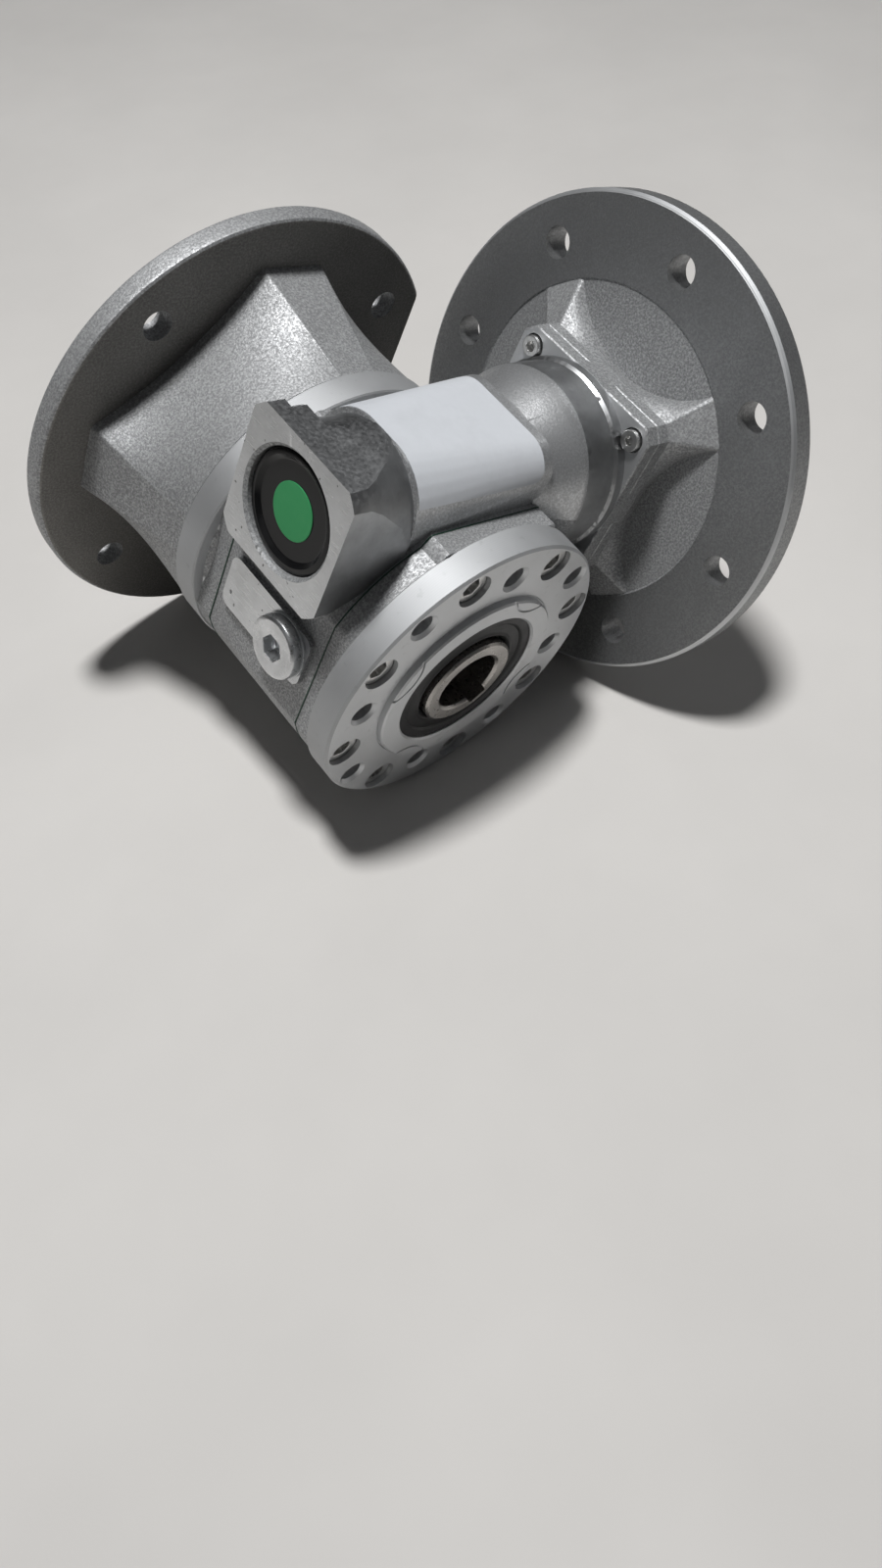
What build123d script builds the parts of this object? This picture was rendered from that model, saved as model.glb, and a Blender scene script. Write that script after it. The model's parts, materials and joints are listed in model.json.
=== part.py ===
from build123d import *
import os
from math import atan2, cos, degrees, pi, radians, sin, sqrt, tan

# Worm gearbox: single-start worm over a bronze wheel, motor flange on the worm, hollow output shaft with an
# output flange on the far side.
# Frame: origin on the output axis at mid-width, +X along the worm towards the motor, +Y along the output axis
# towards the output flange, +Z from the output axis up to the worm axis. Millimetres.

# Gear pair
MODULE = 2.0
WHEEL_TEETH = 30
WHEEL_PITCH_R = MODULE * WHEEL_TEETH / 2
WHEEL_TIP_R = WHEEL_PITCH_R + MODULE * 1.2
WHEEL_HALF_WIDTH = 9.0
WORM_PITCH_R = 10.0
WORM_TIP_R = WORM_PITCH_R + MODULE
WORM_THREAD_HALF = 3 * pi * MODULE
CENTRE = WORM_PITCH_R + WHEEL_PITCH_R
PRESSURE_ANGLE = 20.0
BACKLASH = 0.4
TOOTH_CLEARANCE = 0.5

# Socket cap screws: core radius, head radius, head height, socket across flats
M4 = (1.65, 3.5, 4.0, 3.0)
M6 = (2.5, 4.95, 6.0, 5.0)
M8 = (3.4, 6.5, 8.0, 6.0)
HEAD_CLEARANCE = 0.25
SHANK_CLEARANCE = 0.5

# Hollow output shaft and wheel hub
SHAFT_R = 15.0
SHAFT_BORE_R = 10.0
SHAFT_KEY_W = 6.0
SHAFT_KEY_R = SHAFT_BORE_R + 2.8
SHAFT_KEY_ANGLE = -47.0
SHAFT_PROUD = 0.7
HUB_R = SHAFT_R + 3.5
HUB_WEB_R = SHAFT_R + 7.0
WHEEL_KEY_W = 6.0
WHEEL_KEY_HALF = 12.0
WHEEL_KEY_R = (SHAFT_R - 1.8, SHAFT_R + 1.8)

# Bearings: inner radius, outer radius, width, ball radius, balls
OUTPUT_BEARING = (SHAFT_R, SHAFT_R + 12.5, 13.0, 3.55, 9)
CAP_BEARING = (6.0, 16.0, 10.0, 2.95, 7)
INPUT_BEARING = (12.5, 21.0, 9.0, 2.35, 10)
BALL_PLAY = 0.04

# Seals: outer radius, width
OUTPUT_SEAL = (SHAFT_R + 8.5, 7.0)
INPUT_SEAL = (INPUT_BEARING[1], 7.0)
SEAL_SINK = 1.0
RUNNING_CLEARANCE = 0.05

# Middle housing, across the output axis
WHEEL_CAVITY_R = WHEEL_TIP_R + 3.6
CAST_R = WHEEL_CAVITY_R + 10.5
SIDE_FLAT_X = CAST_R - 3.9
HUMP_TOP_Z = CENTRE + 4.0
HUMP_HALF_X = 21.0

# Worm barrel, from the cap end to the motor end
WORM_CAVITY_R = WORM_TIP_R + 2.0
BARREL_HALF = WORM_CAVITY_R + 6.4
BARREL_LEFT_X = -27.0
BARREL_RIGHT_X = 21.0
BOSS_R = BARREL_HALF + 0.3
CAP_FACE_X = BARREL_LEFT_X - 23.3
CAP_SQUARE = 2 * BARREL_HALF - 0.4
CAP_CORNER_R = BARREL_HALF + 5.6
CAP_CORNER_STEP = 1.8
CAP_SQUARE_T = 5.3
FLARE_END_X = BARREL_RIGHT_X + 13.0
INPUT_R = INPUT_BEARING[1] + 5.5
INPUT_STEP_X = FLARE_END_X + 11.0
INPUT_STEP = 0.9
FLARE_CLEARANCE = 0.8
SEAT_X = INPUT_STEP_X + 4.0
SEAT_T = 5.0
SEAT_HALF = INPUT_R + 0.3
SEAT_CORNER = 3.4
SEAT_WAIST = SEAT_HALF + 0.1
SEAT_EDGE = 0.4
SEAT_BULGE_R = INPUT_R + INPUT_STEP

# Middle housing along the output axis, and the covers
BARREL_INSET = 0.85
HOUSING_HALF = BARREL_HALF + BARREL_INSET
GASKET_T = 0.3
GASKET_PROUD = 0.2
COVER_BACK = HOUSING_HALF + GASKET_T
COVER_T = 15.75
COVER_FACE = COVER_BACK + COVER_T
RIM_R = CAST_R + 0.9
RIM_T = 9.3
COVER_PILOT_R = CAST_R - 9.5
COVER_SCREWS = 8
COVER_SCREW_R = CAST_R - 5.4
COVER_SCREW_SINK = 7.5
COVER_SCREW_GRIP = 6.0
INNER_TAP_R = CAST_R - 9.0
INNER_TAP_DEPTH = 13.0
OUTER_TAP_R = CAST_R - 4.6
OUTER_TAP_DEPTH = 10.0
SPIGOT_R = INNER_TAP_R - 7.5
SPIGOT_H = 2.0
SHAFT_END = COVER_FACE + SPIGOT_H + SHAFT_PROUD
BEARING_BACK = COVER_FACE + SPIGOT_H - SEAL_SINK - OUTPUT_SEAL[1] - 0.3
BEARING_FRONT = BEARING_BACK - OUTPUT_BEARING[2]

# Oil plug and its pad on the cap side of the housing
PAD_T = 1.5
PAD_SIZE_Y = 2 * HOUSING_HALF - 6.5
PAD_SIZE_Z = 17.5
PAD_Z = 1.2
PLUG_Y = -9.0
PLUG_Z = 0.8
PLUG_THREAD_R = 5.0
PLUG_THREAD_L = 7.0
PLUG_HEAD_R = 9.0
PLUG_HEAD_T = 3.3
PLUG_SOCKET = 6.0
WASHER_T = 0.9

# Worm shaft
WORM_BEARING_LEFT_X = CAP_FACE_X + 9.3
WORM_BEARING_RIGHT_X = SEAT_X - 16.0
WORM_SHOULDER_R = 8.0
WORM_END_X = SEAT_X + SEAT_T + 9.5
MOTOR_BORE_R = 5.5
MOTOR_BORE_DEPTH = 25.0
MOTOR_KEY_W = 4.0
MOTOR_KEY_R = MOTOR_BORE_R + 1.8
CIRCLIP_T = 1.5
SHAFT_CLIP_T = 1.0
CLIP_GROOVE = 0.4
BORE_CLIP_GROOVE = 1.2

# End cap
CAP_SINK = 2.4
CAP_WALL = 2.5
CAP_DEPTH = 6.6
CAP_DISC_R = 7.5
CAP_DISC_T = 0.3

# Both flanges
FLANGE_R = 70.0
FLANGE_BOLT_R = FLANGE_R - 12.5
FLANGE_HOLE_R = 4.5
PILOT_R = FLANGE_BOLT_R - 10.0
PILOT_DEPTH = 4.0

# Motor flange
MOTOR_BASE_END = SEAT_X + SEAT_T + 6.0
MOTOR_PLATE_X = MOTOR_BASE_END + 6.2
MOTOR_PLATE_T = 8.9
MOTOR_HOLES = 8
MOTOR_CAST_R = PILOT_R - 0.1
MOTOR_CAST_SINK = 0.4
MOTOR_LOBE_HALF = 7.5
MOTOR_STAR_WAIST = SEAT_WAIST - 2.3
MOTOR_SCREW_OFFSET = SEAT_HALF - 5.4
MOTOR_SCREW_SINK = 2.4
MOTOR_SCREW_GRIP = 7.0
MOTOR_REGISTER_R = INPUT_BEARING[1] + 1.4
MOTOR_REGISTER_H = 2.2
MOTOR_THROAT_R = 15.0
MOTOR_CONE_R = MOTOR_STAR_WAIST - 3.6
MOTOR_RECESS_R = PILOT_R - 5.5

# Output flange
OUTPUT_PLATE_Y = COVER_FACE + 35.4
OUTPUT_PLATE_T = 7.0
OUTPUT_PLATE_EDGE = 1.4
OUTPUT_HOLES = 4
OUTPUT_FLAT_X = FLANGE_R - 15.7
NECK_BASE = (RIM_R - 1.0, 6.1, RIM_R - 0.5)
NECK_PLATE = (FLANGE_R - 14.2, 10.5, FLANGE_BOLT_R - 14.5)
NECK_FLOOR = 9.0
NECK_CAVITY_R = NECK_PLATE[2] - 6.0
NECK_POCKET_R = M8[1] + 1.0


def at_worm(shape):
    """Lift a shape drawn about the X axis to the worm axis."""
    return Pos(0, 0, CENTRE) * shape


def turned_x(points):
    """Solid of revolution about the worm axis from (x, r) points."""
    return at_worm(revolve(make_face(Polyline(*points, close=True)), Axis.X))


def turned_y(points):
    """Solid of revolution about the output axis from (r, y) points."""
    return revolve(make_face(Polyline(*points, close=True)), Axis.Y)


def disc_x(radius, x0, x1, y=0.0, z=0.0):
    """Cylinder along X from x0 to x1, its axis at y, z from the worm axis."""
    return Pos(0, y, CENTRE + z) * extrude(Plane.YZ.offset(x0) * Circle(radius), x1 - x0)


def disc_y(radius, y0, y1, x=0.0, z=0.0):
    """Cylinder along Y from y0 to y1 (y1 further out), its axis at x, z."""
    return Pos(x, 0, z) * extrude(Plane.XZ.offset(-y0) * Circle(radius), y0 - y1)


def on_circle(radius, count, first):
    """Places (a, b) evenly round a circle, the first at an angle in degrees."""
    angles = [radians(first + 360 * k / count) for k in range(count)]
    return [(radius * cos(t), radius * sin(t)) for t in angles]


def lobed_section(tip, half_width, waist, turn):
    """Outline with four flat tips joined by arcs that pass the waist radius halfway between tips."""
    edges = []
    for k in range(4):
        spin = Rot(0, 0, turn + 90 * k)
        side = waist / sqrt(2)
        edges.append(spin * Line((tip, -half_width), (tip, half_width)))
        edges.append(spin * ThreePointArc((tip, half_width), (side, side), (half_width, tip)))
    return make_face(edges)


def cap_screw(size, length):
    """Socket cap screw along +Z, the underside of its head at the origin, its shank towards -Z."""
    core_r, head_r, head_h, socket = size
    screw = Pos(0, 0, head_h / 2) * Cylinder(head_r, head_h)
    screw += Pos(0, 0, -length / 2) * Cylinder(core_r, length)
    hexagon = Pos(0, 0, head_h / 2) * RegularPolygon(socket / sqrt(3), 6)
    return screw - extrude(hexagon, head_h)


def cast_outline(grow=0.0):
    """Outline shared by the middle housing and the cast backs of the covers, in the XZ plane."""
    flats = Rectangle(2 * (SIDE_FLAT_X + grow), 4 * CAST_R)
    disc = Circle(CAST_R + grow) & flats
    top = Pos(0, HUMP_TOP_Z + grow + CAST_R) * Rectangle(4 * CAST_R, 2 * CAST_R)
    hump_h = HUMP_TOP_Z + grow
    hump = Pos(0, hump_h / 2) * Rectangle(2 * (HUMP_HALF_X + grow), hump_h)
    return disc - top + hump


def input_profile(grow=0.0):
    """Outer (x, r) points of the flare, the input cylinder and its step, up to the square seat."""
    return [
        (BARREL_RIGHT_X - 2, 0),
        (BARREL_RIGHT_X - 2, BARREL_HALF + grow),
        (BARREL_RIGHT_X, BARREL_HALF + 0.8 + grow),
        (FLARE_END_X - 4, INPUT_R - 0.9 + grow),
        (FLARE_END_X, INPUT_R + grow),
        (INPUT_STEP_X, INPUT_R + grow),
        (INPUT_STEP_X + INPUT_STEP, INPUT_R + INPUT_STEP + grow),
        (SEAT_X, INPUT_R + INPUT_STEP + grow),
        (SEAT_X, 0),
    ]


def seat_section():
    """Outline of the square seat with cut corners that the motor flange stands on."""
    tip = (2 * SEAT_HALF - SEAT_CORNER) / sqrt(2)
    return lobed_section(tip, SEAT_CORNER / sqrt(2), SEAT_WAIST, 45)


def square_seat(x0, x1):
    """Seat block between two planes across the worm axis, the input cylinder bulging through its sides."""
    block = extrude(Plane.YZ.offset(x0) * seat_section(), x1 - x0)
    ends = block.faces().sort_by(Axis.X)
    block = chamfer(ends[0].edges() + ends[-1].edges(), SEAT_EDGE)
    return at_worm(block) + disc_x(SEAT_BULGE_R, x0, x1)


def motor_screw_places():
    offsets = (-MOTOR_SCREW_OFFSET, MOTOR_SCREW_OFFSET)
    return [(y, z) for y in offsets for z in offsets]


def barrel_section(x, corner_r, crease_z):
    """Drafted square section of the worm barrel, its upper corners rounded."""
    foot_z = -12.0
    foot_half = BARREL_HALF - 2.8
    points = [
        (-foot_half, foot_z),
        (-BARREL_HALF, crease_z),
        (-BARREL_HALF, BARREL_HALF),
        (BARREL_HALF, BARREL_HALF),
        (BARREL_HALF, crease_z),
        (foot_half, foot_z),
    ]
    section = make_face(Polyline(*points, close=True))
    top = section.vertices().sort_by(Axis.Y)[-2:]
    return at_worm(Plane.YZ.offset(x) * fillet(top, corner_r))


def housing():
    body = extrude(Plane.XZ * cast_outline(), HOUSING_HALF, both=True)
    sections = [barrel_section(BARREL_LEFT_X, 16.0, 3.2), barrel_section(BARREL_RIGHT_X, 9.0, 10.8)]
    body += loft(sections)
    body += disc_x(BOSS_R, CAP_FACE_X + CAP_SQUARE_T, BARREL_LEFT_X)
    step_x = CAP_FACE_X + CAP_SQUARE_T
    corners = [(CAP_CORNER_R, CAP_FACE_X, CAP_SQUARE_T), (CAP_CORNER_R - CAP_CORNER_STEP, step_x, 4.0)]
    for corner_r, x, thickness in corners:
        plate = Rectangle(CAP_SQUARE, CAP_SQUARE) & Circle(corner_r)
        body += at_worm(extrude(Plane.YZ.offset(x) * plate, thickness))
    body += turned_x(input_profile())
    body += square_seat(SEAT_X, SEAT_X + SEAT_T)
    pad = fillet(Rectangle(PAD_SIZE_Y, PAD_SIZE_Z).vertices(), 3.0)
    body += extrude(Plane.YZ.offset(-SIDE_FLAT_X - PAD_T) * Pos(0, PAD_Z) * pad, PAD_T + 2)

    # Room for the wheel, the worm, the bearings and the cover pilots
    body -= disc_y(WHEEL_CAVITY_R, -HOUSING_HALF - 1, HOUSING_HALF + 1)
    for side in (-1, 1):
        body -= disc_y(COVER_PILOT_R, side * BEARING_FRONT, side * (HOUSING_HALF + 1))
    body -= disc_x(WORM_CAVITY_R, WORM_BEARING_LEFT_X, WORM_BEARING_RIGHT_X + 1)
    body -= disc_x(CAP_BEARING[1], CAP_FACE_X - 1, WORM_BEARING_LEFT_X + CAP_BEARING[2])
    body -= disc_x(INPUT_BEARING[1], WORM_BEARING_RIGHT_X, SEAT_X + SEAT_T + 1)
    body -= disc_x(MOTOR_REGISTER_R, SEAT_X + SEAT_T - MOTOR_REGISTER_H - 0.2, SEAT_X + SEAT_T + 1)
    clip_x = WORM_BEARING_RIGHT_X + INPUT_BEARING[2]
    body -= disc_x(INPUT_BEARING[1] + BORE_CLIP_GROOVE, clip_x, clip_x + CIRCLIP_T)
    body -= extrude(Plane.YZ.offset(-SIDE_FLAT_X - 5) * Pos(PLUG_Y, PLUG_Z) * Circle(PLUG_THREAD_R), 16)

    # Screw holes
    for x, z in on_circle(COVER_SCREW_R, COVER_SCREWS, 180 / COVER_SCREWS):
        for side in (-1, 1):
            bottom = side * (HOUSING_HALF - COVER_SCREW_GRIP - 1)
            body -= disc_y(M6[0], bottom, side * (HOUSING_HALF + 1), x, z)
    for y, z in motor_screw_places():
        body -= disc_x(M4[0] + SHANK_CLEARANCE, SEAT_X, SEAT_X + SEAT_T + 1, y, z)
        body -= disc_x(M4[1] + HEAD_CLEARANCE, SEAT_X - 4, SEAT_X + MOTOR_SCREW_SINK, y, z)
    return body


def near_cover():
    face = -COVER_FACE
    body = extrude(Plane.XZ.offset(COVER_BACK) * cast_outline(), COVER_FACE - RIM_T - COVER_BACK)
    rim = extrude(Plane.XZ.offset(COVER_FACE - RIM_T) * Circle(RIM_R), RIM_T)
    body += chamfer(rim.faces().sort_by(Axis.Y)[0].edges(), 0.6)
    spigot = extrude(Plane.XZ.offset(COVER_FACE) * Circle(SPIGOT_R), SPIGOT_H)
    body += chamfer(spigot.faces().sort_by(Axis.Y)[0].edges(), 0.5)
    body += disc_y(COVER_PILOT_R - RUNNING_CLEARANCE, -BEARING_FRONT, -COVER_BACK)
    body -= disc_y(OUTPUT_BEARING[1], -BEARING_FRONT + 1, -BEARING_BACK)
    body -= disc_y(OUTPUT_SEAL[0], -BEARING_BACK + 1, face - SPIGOT_H - 1)
    for x, z in on_circle(COVER_SCREW_R, COVER_SCREWS, 180 / COVER_SCREWS):
        body -= disc_y(M6[0] + SHANK_CLEARANCE, -COVER_BACK + 1, face, x, z)
        body -= disc_y(M6[1] + HEAD_CLEARANCE, face + COVER_SCREW_SINK, face - 1, x, z)
    for radius, first, depth in ((INNER_TAP_R, 0, INNER_TAP_DEPTH), (OUTER_TAP_R, 45, OUTER_TAP_DEPTH)):
        for x, z in on_circle(radius, 4, first):
            body -= disc_y(M8[0], face + depth, face - 1, x, z)
            body -= Pos(x, face, z) * Rot(90, 0, 0) * Cone(M8[0] - 0.1, M8[0] + 0.9, 1.0)
    return body - turned_x(input_profile(FLARE_CLEARANCE))


def near_cover_gasket():
    ring = cast_outline(GASKET_PROUD) - Circle(COVER_PILOT_R)
    places = on_circle(COVER_SCREW_R, COVER_SCREWS, 180 / COVER_SCREWS)
    ring -= [Pos(x, z) * Circle(M6[0] + SHANK_CLEARANCE) for x, z in places]
    gasket = extrude(Plane.XZ.offset(HOUSING_HALF) * ring, GASKET_T)
    return gasket - turned_x(input_profile(FLARE_CLEARANCE))


def near_cover_screws():
    length = COVER_FACE - COVER_SCREW_SINK - HOUSING_HALF + COVER_SCREW_GRIP
    screw = Rot(90, 0, 0) * cap_screw(M6, length)
    seat = -COVER_FACE + COVER_SCREW_SINK
    places = on_circle(COVER_SCREW_R, COVER_SCREWS, 180 / COVER_SCREWS)
    return [Pos(x, seat, z) * screw for x, z in places]


def output_flange():
    top = OUTPUT_PLATE_Y
    base_section = Plane.XZ.offset(-COVER_FACE) * lobed_section(*NECK_BASE, 0)
    plate_section = Plane.XZ.offset(-top) * lobed_section(*NECK_PLATE, 0)
    body = loft([base_section, plate_section])
    plate = disc_y(FLANGE_R, top, top + OUTPUT_PLATE_T)
    plate = fillet(plate.edges().filter_by(GeomType.CIRCLE), OUTPUT_PLATE_EDGE)
    body += plate
    floor = COVER_FACE + NECK_FLOOR
    end = top + OUTPUT_PLATE_T
    body -= disc_y(SPIGOT_R + RUNNING_CLEARANCE, COVER_FACE - 1, end)
    body -= turned_y([(0, floor), (NECK_CAVITY_R, floor), (NECK_CAVITY_R + 2, end - PILOT_DEPTH),
                      (PILOT_R, end - PILOT_DEPTH), (PILOT_R, end + 1), (0, end + 1)])
    for x, z in on_circle(INNER_TAP_R, 4, 0):
        body -= disc_y(NECK_POCKET_R, floor, end, x, z)
        body -= disc_y(M8[0] + 2 * SHANK_CLEARANCE, COVER_FACE - 1, floor + 1, x, z)
    for x, z in on_circle(FLANGE_BOLT_R, OUTPUT_HOLES, 45):
        body -= disc_y(FLANGE_HOLE_R, top - 1, end + 1, x, z)
    return body - Pos(OUTPUT_FLAT_X + FLANGE_R, top, 0) * Box(2 * FLANGE_R, 3 * FLANGE_R, 3 * FLANGE_R)


def output_flange_screws():
    screw = Rot(-90, 0, 0) * cap_screw(M8, NECK_FLOOR + INNER_TAP_DEPTH - 2)
    return [Pos(x, COVER_FACE + NECK_FLOOR, z) * screw for x, z in on_circle(INNER_TAP_R, 4, 0)]


def motor_flange():
    base_x = SEAT_X + SEAT_T
    floor_x = MOTOR_PLATE_X + MOTOR_CAST_SINK
    end = MOTOR_PLATE_X + MOTOR_PLATE_T
    plate = disc_x(FLANGE_R, MOTOR_PLATE_X, end)
    plate = chamfer(plate.edges().filter_by(GeomType.CIRCLE), 1.0)
    body = plate - disc_x(MOTOR_CAST_R, MOTOR_PLATE_X - 1, floor_x)
    body += square_seat(base_x, MOTOR_BASE_END)
    lobe_tip = sqrt(MOTOR_CAST_R**2 - MOTOR_LOBE_HALF**2)
    star_section = lobed_section(lobe_tip - 0.1, MOTOR_LOBE_HALF, MOTOR_STAR_WAIST, 45)
    star = loft([Plane.YZ.offset(MOTOR_BASE_END) * seat_section(), Plane.YZ.offset(floor_x) * star_section])
    body += at_worm(star)
    body += disc_x(SEAT_BULGE_R, MOTOR_BASE_END, MOTOR_BASE_END + 1.5)
    body += disc_x(MOTOR_REGISTER_R - RUNNING_CLEARANCE, base_x - MOTOR_REGISTER_H, base_x)
    body -= turned_x([(base_x - 3, 0), (base_x - 3, MOTOR_THROAT_R), (base_x + 3, MOTOR_THROAT_R + 1),
                      (MOTOR_PLATE_X, MOTOR_CONE_R), (MOTOR_PLATE_X + 2.8, MOTOR_CONE_R + 2),
                      (MOTOR_PLATE_X + 3.8, MOTOR_RECESS_R), (end - PILOT_DEPTH, MOTOR_RECESS_R),
                      (end - PILOT_DEPTH, PILOT_R), (end + 1, PILOT_R), (end + 1, 0)])
    for y, z in on_circle(FLANGE_BOLT_R, MOTOR_HOLES, 0):
        body -= disc_x(FLANGE_HOLE_R, MOTOR_PLATE_X - 1, end + 1, y, z)
    for y, z in motor_screw_places():
        body -= disc_x(M4[0], base_x - 1, base_x + MOTOR_SCREW_GRIP + 1, y, z)
    return body


def motor_flange_screws():
    seat = SEAT_X + MOTOR_SCREW_SINK
    screw = Rot(0, -90, 0) * cap_screw(M4, SEAT_T - MOTOR_SCREW_SINK + MOTOR_SCREW_GRIP)
    return [Pos(seat, y, CENTRE + z) * screw for y, z in motor_screw_places()]


def key_slot(width, inner, outer, half_length, angle):
    """Block along Y for a keyway or key, reaching from the inner to the outer radius at an angle in XZ."""
    block = Pos((inner + outer) / 2, 0, 0) * Box(outer - inner, 2 * half_length, width)
    return Rot(0, -angle, 0) * block


def output_shaft():
    bevel = 0.8
    body = turned_y([(SHAFT_BORE_R + bevel, -SHAFT_END), (SHAFT_R - bevel, -SHAFT_END),
                     (SHAFT_R, -SHAFT_END + bevel), (SHAFT_R, SHAFT_END - bevel), (SHAFT_R - bevel, SHAFT_END),
                     (SHAFT_BORE_R + bevel, SHAFT_END), (SHAFT_BORE_R, SHAFT_END - bevel),
                     (SHAFT_BORE_R, -SHAFT_END + bevel)])
    body -= key_slot(SHAFT_KEY_W, 0, SHAFT_KEY_R, SHAFT_END + 1, SHAFT_KEY_ANGLE)
    return body - key_slot(WHEEL_KEY_W, WHEEL_KEY_R[0], SHAFT_R + 1, WHEEL_KEY_HALF, SHAFT_KEY_ANGLE + 180)


def wheel_hub():
    half = WHEEL_HALF_WIDTH
    body = turned_y([(SHAFT_R, -BEARING_FRONT), (HUB_R, -BEARING_FRONT), (HUB_R, -half), (HUB_WEB_R, -half),
                     (HUB_WEB_R, half), (HUB_R, half), (HUB_R, BEARING_FRONT), (SHAFT_R, BEARING_FRONT)])
    return body - key_slot(WHEEL_KEY_W, SHAFT_R - 2, WHEEL_KEY_R[1], WHEEL_KEY_HALF, SHAFT_KEY_ANGLE + 180)


def wheel_key():
    return key_slot(WHEEL_KEY_W, *WHEEL_KEY_R, WHEEL_KEY_HALF, SHAFT_KEY_ANGLE + 180)


def tooth_gap(y, turn):
    """Outline of one gap between wheel teeth, in a plane across the output axis, turned by degrees."""
    pitch_r = WHEEL_PITCH_R
    base_r = pitch_r * cos(radians(PRESSURE_ANGLE))
    involute = tan(radians(PRESSURE_ANGLE)) - radians(PRESSURE_ANGLE)
    half_gap = pi / 2 / WHEEL_TEETH + BACKLASH / 2 / pitch_r

    def flank(radius):
        ratio = min(1.0, base_r / radius)
        alpha = atan2(sqrt(1 - ratio * ratio), ratio)
        return radians(90) - half_gap - (tan(alpha) - alpha - involute), radius

    right = [flank(pitch_r - MODULE * 1.0), flank(pitch_r), flank(pitch_r + MODULE * 1.3)]
    root = pitch_r - MODULE - TOOTH_CLEARANCE
    right.insert(0, (right[0][0], root))
    corner = [(r * cos(t), r * sin(t)) for t, r in right]
    left = [(-a, b) for a, b in reversed(corner)]
    outline = Polyline(*corner, *left, close=True)
    return Plane.XZ.offset(-y) * Rot(0, 0, turn) * make_face(outline)


def wheel_rim():
    throat_r = WORM_PITCH_R - MODULE
    blank = turned_y([(HUB_WEB_R, -WHEEL_HALF_WIDTH), (WHEEL_TIP_R, -WHEEL_HALF_WIDTH),
                      (WHEEL_TIP_R, WHEEL_HALF_WIDTH), (HUB_WEB_R, WHEEL_HALF_WIDTH)])
    blank -= revolve(Pos(CENTRE, 0) * Circle(throat_r), Axis.Y)
    reach = WHEEL_HALF_WIDTH + 0.5
    twist = degrees(reach * MODULE / (2 * WORM_PITCH_R) / WHEEL_PITCH_R)
    cutter = loft([tooth_gap(-reach, twist), tooth_gap(reach, -twist)], ruled=True)
    return blank - [Rot(0, 360 * k / WHEEL_TEETH, 0) * cutter for k in range(WHEEL_TEETH)]


def worm_shaft():
    lead = pi * MODULE
    root_r = WORM_PITCH_R - MODULE - TOOTH_CLEARANCE
    left, right = WORM_BEARING_LEFT_X, WORM_BEARING_RIGHT_X
    inner_r, hub_r = CAP_BEARING[0], INPUT_BEARING[0]
    inside = left + CAP_BEARING[2]
    run_out = WORM_THREAD_HALF + 2
    body = turned_x([(left - 2.5, 0), (left - 2.5, inner_r - 0.5), (left - 2, inner_r), (inside, inner_r),
                     (inside, WORM_SHOULDER_R), (-run_out, WORM_SHOULDER_R), (-run_out, root_r),
                     (run_out, root_r), (right - 5, hub_r - 1.5), (right - 3, hub_r + 1.2),
                     (right, hub_r + 1.2), (right, hub_r), (WORM_END_X - 0.8, hub_r),
                     (WORM_END_X, hub_r - 0.8), (WORM_END_X, 0)])
    path = Helix(pitch=lead, height=2 * WORM_THREAD_HALF, radius=root_r)
    slope = tan(radians(PRESSURE_ANGLE))
    pitch_half = lead / 4 - BACKLASH / 4
    foot = pitch_half + (WORM_PITCH_R - root_r) * slope
    tip = pitch_half - MODULE * slope
    height = WORM_TIP_R - root_r
    outline = [(-0.4, -foot), (0, -foot), (height, -tip), (height, tip), (0, foot), (-0.4, foot)]
    start = Plane(origin=path @ 0, x_dir=(1, 0, 0), z_dir=path % 0)
    thread = sweep(start * make_face(Polyline(*outline, close=True)), path, is_frenet=True)
    body += at_worm(Rot(0, 90, 0) * Pos(0, 0, -WORM_THREAD_HALF) * thread)
    body -= disc_x(MOTOR_BORE_R, WORM_END_X - MOTOR_BORE_DEPTH, WORM_END_X + 1)
    slot = Pos(WORM_END_X, 0, MOTOR_KEY_R / 2) * Box(2 * MOTOR_BORE_DEPTH, MOTOR_KEY_W, MOTOR_KEY_R)
    body -= at_worm(slot)
    clip_x = left - SHAFT_CLIP_T
    groove = disc_x(inner_r + 1, clip_x, left) - disc_x(inner_r - CLIP_GROOVE, clip_x, left)
    return body - groove


def bearing(size):
    """Inner ring, outer ring, balls and cage of a ball bearing about the Z axis, from z = 0 upwards."""
    inner_r, outer_r, width, ball_r, count = size
    middle = width / 2
    pitch_r = (inner_r + outer_r) / 2
    land = ball_r * 0.55
    groove = Pos(0, 0, middle) * Torus(pitch_r, ball_r + BALL_PLAY)
    inner = Pos(0, 0, middle) * (Cylinder(pitch_r - land, width) - Cylinder(inner_r, width)) - groove
    outer = Pos(0, 0, middle) * (Cylinder(outer_r, width) - Cylinder(pitch_r + land, width)) - groove
    places = on_circle(pitch_r, count, 90)
    balls = [Pos(x, y, middle) * Sphere(ball_r) for x, y in places]
    strip = land - 0.5
    span = width * 0.7
    cage = Pos(0, 0, middle) * (Cylinder(pitch_r + strip, span) - Cylinder(pitch_r - strip, span))
    for k in range(count):
        place = Pos(0, 0, middle) * Rot(0, 0, 90 + 360 * k / count) * Pos(outer_r, 0, 0)
        cage -= place * Rot(0, 90, 0) * Cylinder(ball_r + 0.1, 2 * outer_r)
    return {"inner": inner, "outer": outer, "balls": balls, "cage": cage}


def placed(place, shape):
    return [place * piece for piece in shape] if isinstance(shape, list) else place * shape


def seal_profile(outer_r, inner_r, width):
    """Half section of a lipped shaft seal as (r, along) points, its closed face at 0."""
    lip = inner_r + RUNNING_CLEARANCE
    web = width * 0.25
    return [(outer_r, 0), (inner_r + 1.0, 0), (lip, width * 0.4), (lip, width * 0.5),
            (inner_r + 1.2, width * 0.6), (inner_r + 2.4, web), (outer_r - 1.6, web), (outer_r - 1.6, width),
            (outer_r, width)]


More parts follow.
